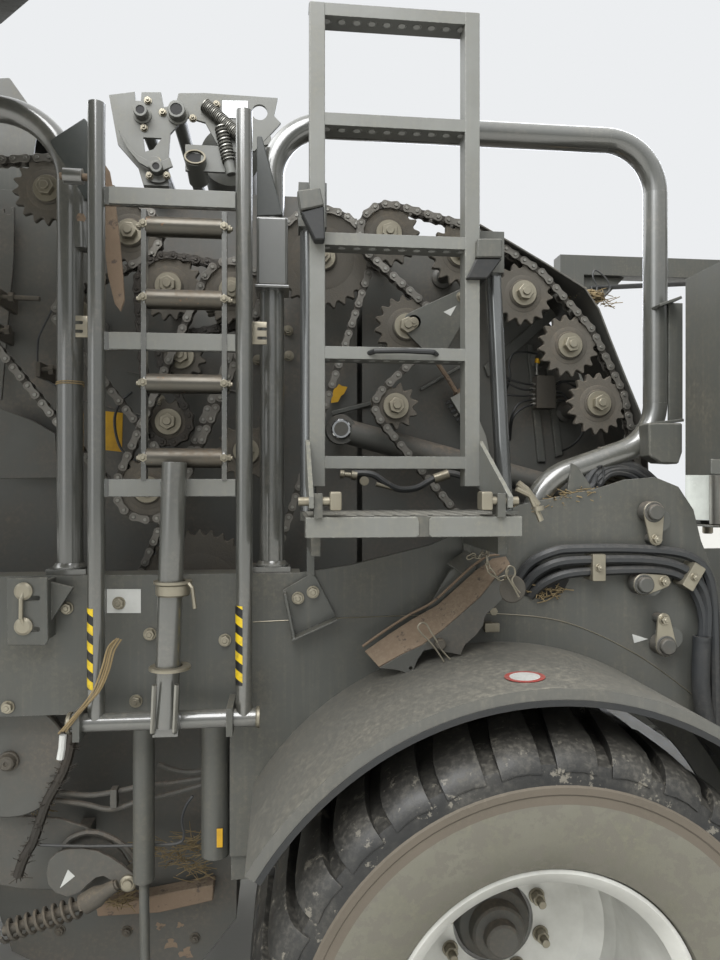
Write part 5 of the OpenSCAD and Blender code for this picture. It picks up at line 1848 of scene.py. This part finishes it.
class BALER_OT_low_front(bpy.types.Operator):
    """Drive cover, guard, spring, rods, rope and packed crop ahead of the front wheel"""

    bl_idname = "baler.low_front"
    bl_label = "Lower front fittings"

    def execute(self, context):
        centre = seen((12, 758), -930)
        cover = turned("drive_cover", [
            (0, 0), (135, 0), (150, 3), (154, 8), (154, 26), (150, 30), (0, 30),
        ], centre + Vector((0, 12, 0)), LEFT, 56)
        dress(both(cover), "grimy_coat")
        nut = turned("cover_hub", [
            (0, 0), (26, 0), (26, 8), (22, 10), (19, 24), (15, 27), (6, 27), (5, 24), (0, 24),
        ], centre + Vector((0, -18, 0)), LEFT, 36)
        dress(both(nut), "dusty_cast_steel")
        guard = plate("drive_guard", flat(DRIVE_GUARD, -880), -884, 12, 2)
        kidney = plate("guard_kidney", flat(KIDNEY, -940), -946, 12, 3, 2)
        arc = tube("guard_edge", line(KIDNEY_ARC, -900), 16, 10, smooth=5)
        stand = turned("kidney_stand", disc(26, 60), seen((90, 865), -880), LEFT, 28)
        prop = block("guard_prop", (-880, -880, 860), (-840, -646, 900), 3)
        prop_two = block("guard_prop", (-620, -880, 780), (-580, -646, 820), 3)
        pieces = [guard, kidney, arc, stand, prop, prop_two]
        fit_both("drive_guards", pieces, "grimy_coat")
        mark = plate("kidney_mark", flat(KIDNEY_MARK, -946), -946.8, 0.6, 0)
        dress(mark, "white_vinyl")
        pin = turned("kidney_pin", [
            (0, -60), (22, -60), (22, 0), (22, 4), (17, 7), (14, 7), (12, 12), (8, 13), (0, 13),
        ], seen((128, 883), -948), LEFT, 36)
        dress(both(pin), "zinc_plate")
        coil = spring("drive_spring", seen((84, 905), SPRING_Y), seen((4, 932), SPRING_Y), 25, 10, 9)
        core = tube("spring_core", line(((118, 884), (84, 904), (4, 931)), SPRING_Y), 26, 16)
        sleeve = turned("spring_sleeve", [
            (0, 0), (26, 0), (28, 4), (28, 40), (20, 60), (16, 95), (0, 95),
        ], seen((84, 904), SPRING_Y), seen((118, 884), SPRING_Y) - seen((84, 904), SPRING_Y), 28)
        fit_both("drive_spring", [coil, core, sleeve], "dusty_cast_steel")
        rods = [tube("low_rod", line(pixels, -900), 15, smooth=6) for pixels in LOW_RODS]
        low, high = line(ROD_CLIP, -905)
        clip = block("rod_clip", (low.x - 9, -925, low.z), (low.x + 9, -893, high.z))
        wire = tube("low_wire", line(LOW_WIRE, -955), 8, 10, smooth=6)
        fit_both("low_rods", rods + [clip], "grimy_coat")
        dress(both(wire), "hose_rubber")
        run = line(GREASY_RUN, -960)
        strand = tube("greasy_strand", run, 26, smooth=6)
        fuzz = scatter("strand_fuzz", run, (14, 10, 14), 110, 48, 2.2, 21)
        fit_both("greasy_strand", [strand, fuzz], "greasy_chain_steel")
        bundle = [tube("turn_hose", line(pixels, -1000), 13, 10, smooth=6) for pixels in HOSE_TURN]
        fit_both("turn_hoses", bundle, "hose_rubber")
        strands = []
        for k in range(4):
            wave = [
                place + Vector((k * 5 - 8, 3 * (k % 2), 4 * math.sin(i + k)))
                for i, place in enumerate(line(ROPE, ROPE_Y))
            ]
            strands.append(tube("twine_strand", wave, 5, 8, smooth=6))
        fit("twine_end", strands, "dry_crop")
        dress(tube("rope_end", line(ROPE_END, ROPE_Y), 17), "white_vinyl")
        spots = []
        for k, (u, v, size) in enumerate(RUST_SPOTS):
            middle = seen((u, v), -647)
            points = []
            for i in range(18):
                angle = math.tau * i / 18
                reach = size * 1.6 * (1 + 0.35 * math.sin(3 * angle + k) + 0.2 * math.sin(7 * angle))
                points.append((
                    middle.x + reach * math.cos(angle), middle.z + reach * 0.8 * math.sin(angle),
                ))
            spots.append(plate("rust_patch", points, -646.9, 0.5, 0))
        fit_both("rust_patches", spots, "rusty_plate")
        heads = hex_nut("floor_bolt", 22, 9, 12, 3, 34, 3)
        dress(both(bolts("floor_bolts", heads, line(FLOOR_BOLTS, -646))), "dusty_cast_steel")
        drop(heads)
        beam = plate("rusty_beam", flat(RUSTY_BEAM, -700), -705, 58, 3)
        dress(both(beam), "rusty_plate")
        crop = line(PACKED_CROP, -730)
        bed = scatter("packed_crop", crop, (34, 26, 22), 220, 70, 2.4, 31)
        dress(both(bed), "dry_crop")
        tag_low = seen((217, 846), -1016)
        tag_high = seen((223, 827), -1016)
        tag = block("post_tag", (tag_low.x, -1025, tag_low.z), (tag_high.x, -1022, tag_high.z), 1)
        dress(tag, "yellow_vinyl")
        return {"FINISHED"}


# Hoods, front cover, drawbar and gearbox

HOOD_HINGE = (0, -980, 3015)
HOOD_OPEN = math.radians(-68)
# How far the cover's front leans back for each millimetre of height
COVER_LEAN = 0.0783
GEARBOX_X = -1972
JACK_X = -3000
COVER_LINE = ((-1765, 1872), (-1700, 2700), (-1300, 3060), (-845, 3110))


def mirrored(piece):
    """The same piece on the machine's other side, as a piece of its own."""
    twin = copies(piece.name, piece, [Matrix.Diagonal((1, -1, 1, 1))])
    twin.data.flip_normals()
    return twin


def drawbar_top(x):
    """Height of the drawbar's upper edge."""
    return 1560 + (x + 1769) * 0.4164


class BALER_OT_hoods(bpy.types.Operator):
    """Panels, ribs, edges and handles of the two side hoods"""

    bl_idname = "baler.hoods"
    bl_label = "Hood panels"

    def execute(self, context):
        skin = plate("hood_panel", [
            (-1942, -18), (-762, -18), (-538, -430), (-538, -1322), (-1866, -1322), (-1942, -1184),
        ], -71, 8, 5, 3)
        ribs = [
            block("hood_rib", (-1890, -80, z - 26), (-590, -70, z + 26), 7, 3)
            for z in (-560, -840, -1120)
        ]
        frames = [
            block("hood_frame", (x - 22, -40.5, -1300), (x + 22, -24, -340), 4)
            for x in (-1500, -900)
        ]
        frames.append(block("hood_frame", (-1760, -40.5, -1290), (-620, -24, -1250), 4))
        steel = joined("hood_panels", [skin] + ribs + frames)
        grips = [
            block("hood_edge", (-1872, -68, -1371), (-506, -36, -1358), 5, 3),
            tube("hood_grip", bent([
                (-1310, -72, -1225), (-1310, -112, -1225), (-1130, -112, -1225), (-1130, -72, -1225),
            ], 20), 18),
        ]
        grip = joined("hood_grips", grips)
        knuckles = joined("hood_hinges", [
            tube("knuckle", [(x - 34, 0, 0), (x + 64, 0, 0)], 46, 24) for x in (-1850, -1480, -1010)
        ])
        turn = Matrix.Translation(Vector(HOOD_HINGE) / 1000) @ Matrix.Rotation(HOOD_OPEN, 4, "X")
        for piece, finish in (
            (steel, "powder_coated_steel"), (grip, "moulded_plastic"), (knuckles, "coated_tube"),
        ):
            piece.data.transform(turn)
            dress(mirrored(piece), finish, "hood_right")
            dress(piece, finish, "hood_left")
        return {"FINISHED"}


class BALER_OT_front(bpy.types.Operator):
    """Front cover, gearbox, drawbar hoses and jack"""

    bl_idname = "baler.front"
    bl_label = "Front and drawbar"

    def execute(self, context):
        under = [(x + 4, z - 5) for x, z in reversed(COVER_LINE)]
        over = [(x - 4, z + 4) for x, z in COVER_LINE]
        steel = [both(plate("cover_rim", over + under, y, 28, 1.5)) for y in (-618, -330)]
        for i in range(12):
            z = 2080 + i * 42
            x = -1765 + (z - 1870) * COVER_LEAN
            slat = plate(
                "cover_slat", [(x, z + 15), (x - 18, z - 8), (x - 16, z - 13), (x + 2, z + 2)], -285, 250,
                0.6,
            )
            steel.append(both(slat))
        for y in (-604, -316):
            places = [(-1771 + (z - 1870) * COVER_LEAN, y, z) for z in range(1930, 2700, 150)]
            steel.append(both(bolts("cover_bolts", small_bolt(), places, (-1, 0, 0.08))))
        steel.append(block("gearbox_flange", (GEARBOX_X, -150, 1600), (GEARBOX_X + 12, 150, 1812), 5))
        spots = [(GEARBOX_X, y, z) for y in (-130, -45, 45, 130) for z in (1620, 1792)]
        steel.append(bolts("flange_bolts", small_bolt(), spots, AHEAD))
        steel += [
            block("gearbox_fin", (x - 5, -170, 1848), (x + 5, 170, 1866))
            for x in (-1920, -1860, -1800, -1740)
        ]
        steel.append(block("hose_rack", (-3446, -120, 858), (-3438, 120, 1010), 3))
        steel.append(turned(
            "eye_bush", [(25.6, -27), (36, -27), (36, 27), (25.6, 27)], (-REAR + 60, 0, 730), sides=36,
        ))
        for x in (-2140, -2600, -3100):
            z = drawbar_top(x)
            steel.append(block("hose_clamp", (x - 16, -88, z - 2), (x + 16, 88, z + 32), 5, 3))
        fit("front_fittings", steel, "powder_coated_steel")
        black = [
            turned(
                "stub_guard", [(60, 0), (96, 0), (112, 98), (109, 98), (93, 3), (60, 3)],
                (GEARBOX_X, 0, 1700), AHEAD, 40,
            ),
            both(tube("shaft_sleeve", [(-1760, -196, 1700), (-1760, -930, 1700)], 112, 32)),
        ]
        fit("shaft_guards", black, "moulded_plastic")
        runs = []
        ends = []
        for y in (-66, -40, -14, 14, 40, 66):
            side = math.copysign(1, y)
            top = [(x, y, drawbar_top(x) + 14) for x in (-2100, -2300, -2600, -2900, -3200, -3340)]
            runs.append(curved([
                (-1800, side * 215, 1590), (-1930, side * 215, 1540), (-2010, y + side * 50, 1490),
            ] + top + [(-3400, y, 930), (-3442, y * 1.4, 962), (-3470, y * 1.4, 972)], 5))
            ends.append(turned("coupling", [
                (0, 0), (11, 0), (11, 22), (16, 24), (16, 52), (12, 56), (12, 80), (0, 80),
            ], (-3466, y * 1.4, 970), (-1, 0, 0.25), 20))
        dress(tubes("drawbar_hoses", runs, 19), "hose_rubber")
        fit("hose_couplings", ends, "zinc_plate")
        crank = [
            tube("jack_crank", bent([
                (JACK_X, -230, 1008), (JACK_X, -230, 1052), (JACK_X, -350, 1052), (JACK_X, -350, 1130),
            ], 14), 16, 14),
            turned(
                "jack_sleeve", [(45.2, 0), (53, 2), (53, 420), (45.2, 422)], (JACK_X, -230, 480), sides=36,
            ),
        ]
        fit("jack_fittings", crank, "zinc_plate", "jack")
        return {"FINISHED"}


# Pickup: centres x, z of its reel and of the gauge wheels

REEL = (-1400, 350)
GAUGE = (-1130, 200)


class BALER_OT_pickup(bpy.types.Operator):
    """Stripper bands, crop guard rods and gauge wheel hubs"""

    bl_idname = "baler.pickup"
    bl_label = "Pickup fittings"

    def execute(self, context):
        def rim(radius, first, last):
            """Points of an arc round the reel's centre, between two angles in degrees."""
            return [
                (REEL[0] + radius * math.cos(math.radians(a)), REEL[1] + radius * math.sin(math.radians(a)))
                for a in range(first, last, 9 if last > first else -9)
            ]

        outer = [(-1150, 470)] + rim(264, 57, 252)
        inner = rim(260, 246, 51) + [(-1152, 466)]
        band = plate("stripper_band", outer + inner, 10, 60, 0)
        places = [Matrix.Translation((0, y / 1000, 0)) for y in range(-960, 900, 80)]
        bands = copies("stripper_bands", band, places)
        drop(band)
        dress(bands, "rubbed_steel", "pickup")
        rods = tubes("guard_rods", [
            curved([(-1640, y, 712), (-1540, y, 722), (-1380, y, 706), (-1240, y, 682), (-1150, y, 640)], 3)
            for y in range(-920, 960, 80)
        ], 11, 8)
        bar = tube("guard_bar", [(-1600, -1010, 734), (-1600, 1010, 734)], 34, 24)
        ears = both(plate("guard_ear", [(-1660, 600), (-1620, 760), (-1570, 760), (-1570, 620)], -1022, 8))
        fit("crop_guard", [rods, bar, ears], "coated_tube", "pickup")
        hub = turned("gauge_hub", [
            (0, 0), (118, 0), (122, 6), (112, 8), (104, 2), (60, 2), (52, 16), (30, 20), (28, 40), (0, 42),
        ], (GAUGE[0], -1229, GAUGE[1]), LEFT, 48)
        spots = [
            (GAUGE[0] + 78 * math.cos(turn), -1231, GAUGE[1] + 78 * math.sin(turn))
            for turn in [k * math.tau / 5 for k in range(5)]
        ]
        hub = joined("gauge_hub", [hub, bolts("gauge_bolts", small_bolt(), spots)])
        dress(mirrored(hub), "silver_enamel", "gauge_wheel_right")
        dress(hub, "silver_enamel", "gauge_wheel_left")
        tyre = turned("gauge_tyre", [
            (23, -60), (118, -60), (124, -65), (180, -65), (196, -56), (200, -46), (200, -30), (193, -27),
            (193, -15), (200, -12), (200, 12), (193, 15), (193, 27), (200, 30), (200, 46), (196, 56),
            (180, 65), (124, 65), (118, 60), (23, 60),
        ], (GAUGE[0], -1165, GAUGE[1]), RIGHT, 64)
        dress(mirrored(tyre), "tread_rubber", "gauge_wheel_right", stands_for=["gauge_wheel_right"])
        dress(tyre, "tread_rubber", "gauge_wheel_left", stands_for=["gauge_wheel_left"])
        return {"FINISHED"}


# Wrapper: mast, arm, table, boxes and lamp bar. The table's rollers turn at this height

TABLE_Z = 1050


class BALER_OT_wrapper(bpy.types.Operator):
    """Gussets, slewing drive, film stretchers, table bearings and film box lips"""

    bl_idname = "baler.wrapper"
    bl_label = "Wrapper fittings"

    def execute(self, context):
        steel = [
            plate("mast_gusset", [(1700, 3050), (1960, 3050), (1700, 2790)], -1056, 12),
            plate("foot_gusset", [(1700, 1480), (1860, 1480), (1700, 1740)], -1056, 12),
            plate("foot_gusset", [(1560, 1480), (1430, 1480), (1560, 1690)], -1056, 12),
        ]
        for low, high in (
            ((1078, 1870), (1807, 1888)), ((1078, 2398), (1807, 2416)),
            ((1078, 1888), (1096, 2398)), ((1789, 1888), (1807, 2398)),
        ):
            steel.append(block("box_lip", (low[0], -1472, low[1]), (high[0], -1452, high[1]), 5, 3))
        for x in (1260, 1442, 1624):
            steel.append(block("box_rib", (x - 20, -1440, 1864), (x + 20, -1120, 1878), 4))
            steel.append(block("box_rib", (x - 20, -1109, 1900), (x + 20, -1096, 2386), 4))
        steel.append(plate(
            "box_latch", flat(((709, 459), (722, 460), (722, 475), (709, 474)), -1470), -1478, 7, 1.5,
        ))
        steel.append(bolts(
            "foot_bolts", small_bolt(), [(x, -1100, z) for x in (1590, 1670) for z in (1530, 1640)],
        ))
        steel = [both(piece) for piece in steel]
        steel.append(block("motor_plate", (2480, -80, 3052), (2692, 80, 3064), 3))
        fit("mast_fittings", steel, "powder_coated_steel")
        drive = [
            turned(
                "slew_motor", [(0, 0), (62, 0), (62, 18), (48, 20), (48, 80), (40, 92), (0, 92)],
                (2540, 0, 3064),
            ),
            turned("slew_pinion", disc(38, 46), (2540, 0, 2998), sides=14),
        ]
        tooth = block("slew_tooth", (165, -6, 3000), (180, 6, 3042), 2, 1)
        ring = [
            Matrix.Translation((2.75, 0, 0)) @ Matrix.Rotation(k * math.tau / 48, 4, "Z")
            for k in range(48)
        ]
        drive.append(copies("slew_ring", tooth, ring))
        drop(tooth)
        fit("slew_drive", drive, "greasy_chain_steel")
        hoses = [bent([
            (1710, y, 1500), (1710, y, 3038), (2662 - i * 20, y, 3038), (2662 - i * 20, -150, 3038),
        ], 50) for i, y in enumerate((-1078, -1056, -1034))]
        dress(both(tubes("mast_hoses", hoses, 17)), "hose_rubber")
        clamps = [
            block("mast_clamp", (1700, -1092, z), (1724, -1020, z + 26), 3)
            for z in (1620, 2080, 2540, 2960)
        ]
        fit_both("mast_clamps", clamps, "zinc_plate")
        arm = [block("arm_splice", (x, -1256, 2700), (x + 6, -1060, 2966)) for x in (2684, 2810)]
        spots = [(2684, y, z) for y, z in ((-1220, 2740), (-1220, 2920), (-1100, 2920), (-1170, 2830))]
        arm.append(bolts("splice_bolts", small_bolt(), spots, AHEAD))
        arm.append(bolts("splice_bolts", small_bolt(), [(2816, y, z) for x, y, z in spots], BACK))
        arm += [block("stretcher_plate", (2470, -1235, z), (2665, -985, z + 12), 4) for z in (1603, 2445)]
        fit_both("arm_fittings", arm, "powder_coated_steel", "wrap_arm")
        roller = [(0, 0), (30, 0), (37, 6), (37, 822), (30, 828), (0, 828)]
        rolls = [turned("stretch_roller", roller, (x, -1030, 1616)) for x in (2518, 2606)]
        fit_both("stretch_rollers", rolls, "bare_steel", "wrap_arm")
        core = [(0, 0), (24, 0), (30, 6), (30, 40), (22, 46), (0, 46)]
        cores = [turned("roll_core", core, (2570, -1200, z)) for z in (2479, 1554)]
        fit_both("roll_clamps", cores, "zinc_plate", "wrap_arm")
        bearings = []
        for x in (2330, 3240):
            bearings.append(turned("table_bearing", [
                (0, 0), (64, 0), (64, 10), (40, 14), (36, 30), (20, 32), (20, 40), (0, 40),
            ], (x, -699, TABLE_Z), LEFT, 36))
            spots = [(x + 50 * math.cos(a), -709, TABLE_Z + 50 * math.sin(a)) for a in (0.8, 2.4, 3.9, 5.5)]
            bearings.append(bolts("bearing_bolts", small_bolt(), spots))
            bearings.append(turned("bale_roller", [
                (0, 0), (44, 0), (46, 6), (36, 92), (30, 96), (0, 96),
            ], (x + (60 if x < 3000 else -60), -622, 1140)))
            bearings.append(block("bale_bracket", (x - 40, -690, 1128), (x + 40, -560, 1140), 3))
        fit_both("table_fittings", bearings, "dusty_cast_steel", "wrap_table")
        lacing = [
            block("belt_lacing", (2690, y + 4, 1150), (2716, y + 236, 1152.4), 0.8, 1)
            for y in (-525, -255, 15, 285)
        ]
        fit("belt_lacings", lacing, "bare_steel", "wrap_table")
        board = block("blank_board", (REAR - 39, -260, 708), (REAR - 35, 260, 830), 1)
        dress(board, "white_vinyl")
        cases = [block("lamp_case", (REAR - 42, -1236, 704), (REAR - 8, -1004, 836), 6, 3)]
        ring = [(40, 0), (48, 0), (48, 5), (43, 6), (40, 3)]
        cases += [turned("lamp_ring", ring, (REAR - 2, y, 770), BACK, 36) for y in (-1175, -1065)]
        fit_both("lamp_cases", cases, "moulded_plastic")
        return {"FINISHED"}


# Finishes of the frame's own nodes

NODE_FINISHES = {
    "powder_coated_steel": (
        "side_frames", "rear_frame", "drawbar", "bogie_beams", "gearbox", "front_cover", "platform",
        "film_boxes", "wrap_mast", "lamp_bar", "lift_gear", "jack", "hood_left", "hood_right",
        "pickup_frame", "wrap_table", "wrap_arm",
    ),
    # The ladder and the net unit take the coat painted paler, as painted sky light
    "painted_sky_light_coat": ("ladder", "net_unit"),
    "coated_tube": ("guard_hoops", "roll_lift"),
    "grimy_coat": (
        "chamber_walls", "tailgate", "feeder_housing", "barrel_left", "barrel_right", "feed_rotor",
    ),
    "scuffed_coat": ("fenders",),
    "bare_steel": ("chamber_rollers", "tailgate_rollers", "pickup_reel"),
    "hard_chrome": ("rod_left", "rod_right"),
    "belt_rubber": ("table_belts",),
    "stretch_film": ("film_rolls",),
    "red_lens": ("lamps",),
}


class BALER_OT_finishes(bpy.types.Operator):
    """Procedural materials, given to the frame's own nodes"""

    bl_idname = "baler.finishes"
    bl_label = "Finishes"

    def execute(self, context):
        make_finishes()
        for finish, names in NODE_FINISHES.items():
            for name in names:
                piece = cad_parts[name]
                if not piece.material_slots:
                    piece.data.materials.append(FINISHES[finish])
                for slot in piece.material_slots:
                    slot.material = FINISHES[finish]
        return {"FINISHED"}


class BALER_OT_stage(bpy.types.Operator):
    """Pale floor, soft light and the camera"""

    bl_idname = "baler.stage"
    bl_label = "Stage"

    def execute(self, context):
        clear()
        bpy.ops.mesh.primitive_plane_add(size=60)
        floor = settle("floor")
        material, tree, shader = new_material("pale_floor")
        shader.inputs["Base Color"].default_value = linear("#cfcdc7")
        shader.inputs["Roughness"].default_value = 0.9
        floor.data.materials.append(material)
        world = bpy.data.worlds.new("soft_sky")
        world.use_nodes = True
        tree = world.node_tree
        ground = tree.nodes["Background"]
        ground.inputs["Color"].default_value = linear("#eceeee")
        # An overcast sky is brightest overhead and dim below the horizon
        ray = node(tree, "TexCoord").outputs["Generated"]
        turned_to = node(tree, "SeparateXYZ", {0: ray}).outputs
        level = node(tree, "MapRange", {0: turned_to["Z"], 1: -0.15, 2: 0.75, 3: 0.3, 4: 1.6}).outputs[0]
        # The cloud is thinner in one band over the left side
        side = node(tree, "Math", {0: turned_to["X"], 1: 0.62}, operation="ADD").outputs[0]
        side = node(tree, "Math", {0: side}, operation="ABSOLUTE").outputs[0]
        thin = node(tree, "MapRange", {0: side, 1: 0.06, 2: 0.26, 3: 3.0, 4: 0.9}).outputs[0]
        level = node(tree, "Math", {0: level, 1: thin}, operation="MULTIPLY").outputs[0]
        tree.links.new(level, ground.inputs["Strength"])
        pale = node(tree, "Background", {"Color": linear("#eceef0"), "Strength": 1.0})
        rays = node(tree, "LightPath")
        mix = node(tree, "MixShader", {
            0: rays.outputs["Is Camera Ray"], 1: ground.outputs[0], 2: pale.outputs[0],
        })
        tree.links.new(mix.outputs[0], tree.nodes["World Output"].inputs[0])
        context.scene.world = world
        for name, place, power, size, colour in (
            ("sky_lamp", (-1.5, -5.5, 7.5), 560.0, 5.0, "#ffffff"),
            ("far_lamp", (3.0, 5.0, 6.0), 340.0, 5.0, "#eef3ff"),
        ):
            lamp = bpy.data.lights.new(name, "AREA")
            lamp.energy = power
            lamp.size = size
            lamp.color = linear(colour)[:3]
            thing = bpy.data.objects.new(name, lamp)
            thing.location = place
            aim = Vector((0.3, 0, 1.6)) - Vector(place)
            thing.rotation_euler = aim.to_track_quat("-Z", "Y").to_euler()
            context.scene.collection.objects.link(thing)
        eye = bpy.data.cameras.new("camera")
        eye.sensor_width = 36
        eye.lens = LENS
        eye.shift_y = LENS_SHIFT
        thing = bpy.data.objects.new("camera", eye)
        thing.location = [c / 1000 for c in CAMERA]
        thing.rotation_euler = (math.radians(90), 0, -YAW)
        context.scene.collection.objects.link(thing)
        context.scene.camera = thing
        context.scene.view_settings.view_transform = "Standard"
        return {"FINISHED"}


# Settings, panel and registration

class BalerSizes(bpy.types.PropertyGroup):
    """Sizes of what repeats many times"""

    chain_pitch: bpy.props.FloatProperty(
        name="Chain pitch", description="Distance between a chain's pins", default=0.03175, unit="LENGTH",
    )
    lug_height: bpy.props.FloatProperty(
        name="Lug height", description="Height of the tyres' lugs", default=0.038, unit="LENGTH",
    )


class BalerColours(bpy.types.PropertyGroup):
    """Colours of the coat, the dust and the rims"""

    paint: bpy.props.StringProperty(
        name="Paint", description="Colour of the coated steel, as an sRGB hex value", default="#545551",
    )
    dust: bpy.props.StringProperty(
        name="Dust", description="Colour of the settled dust, as an sRGB hex value", default="#8c8574",
    )
    rim: bpy.props.StringProperty(
        name="Rim", description="Colour of the rims' enamel, as an sRGB hex value", default="#d3d3ce",
    )


class BALER_PT_looks(bpy.types.Panel):
    """Sizes, colours and the steps that build the looks"""

    bl_label = "Round baler"
    bl_idname = "BALER_PT_looks"
    bl_space_type = "VIEW_3D"
    bl_region_type = "UI"
    bl_category = "Baler"

    def draw(self, context):
        for group in (context.scene.baler_sizes, context.scene.baler_colours):
            for key in group.__annotations__:
                self.layout.prop(group, key)
        for step in STEPS:
            self.layout.operator(step.bl_idname)


STEPS = (
    BALER_OT_finishes,
    BALER_OT_chains,
    BALER_OT_sprockets,
    BALER_OT_wheels,
    BALER_OT_guards,
    BALER_OT_roll_lift,
    BALER_OT_ladder,
    BALER_OT_side_plate,
    BALER_OT_net_unit,
    BALER_OT_wall,
    BALER_OT_left_wall,
    BALER_OT_rear_side,
    BALER_OT_chock,
    BALER_OT_low_front,
    BALER_OT_hoods,
    BALER_OT_front,
    BALER_OT_pickup,
    BALER_OT_wrapper,
    BALER_OT_stage,
)
CLASSES = (BalerSizes, BalerColours) + STEPS + (BALER_PT_looks,)


def register():
    """Registers the classes and hangs the settings on the scene."""
    for kind in CLASSES:
        bpy.utils.register_class(kind)
    bpy.types.Scene.baler_sizes = bpy.props.PointerProperty(type=BalerSizes)
    bpy.types.Scene.baler_colours = bpy.props.PointerProperty(type=BalerColours)


def unregister():
    """Takes back what register did."""
    del bpy.types.Scene.baler_colours
    del bpy.types.Scene.baler_sizes
    for kind in reversed(CLASSES):
        bpy.utils.unregister_class(kind)


def main():
    """Runs the steps in order."""
    random.seed(7)
    register()
    for step in STEPS:
        group, name = step.bl_idname.split(".")
        getattr(getattr(bpy.ops, group), name)()
    if "small_bolt" in bpy.data.objects:
        drop(bpy.data.objects["small_bolt"])


if __name__ == "__main__":
    main()
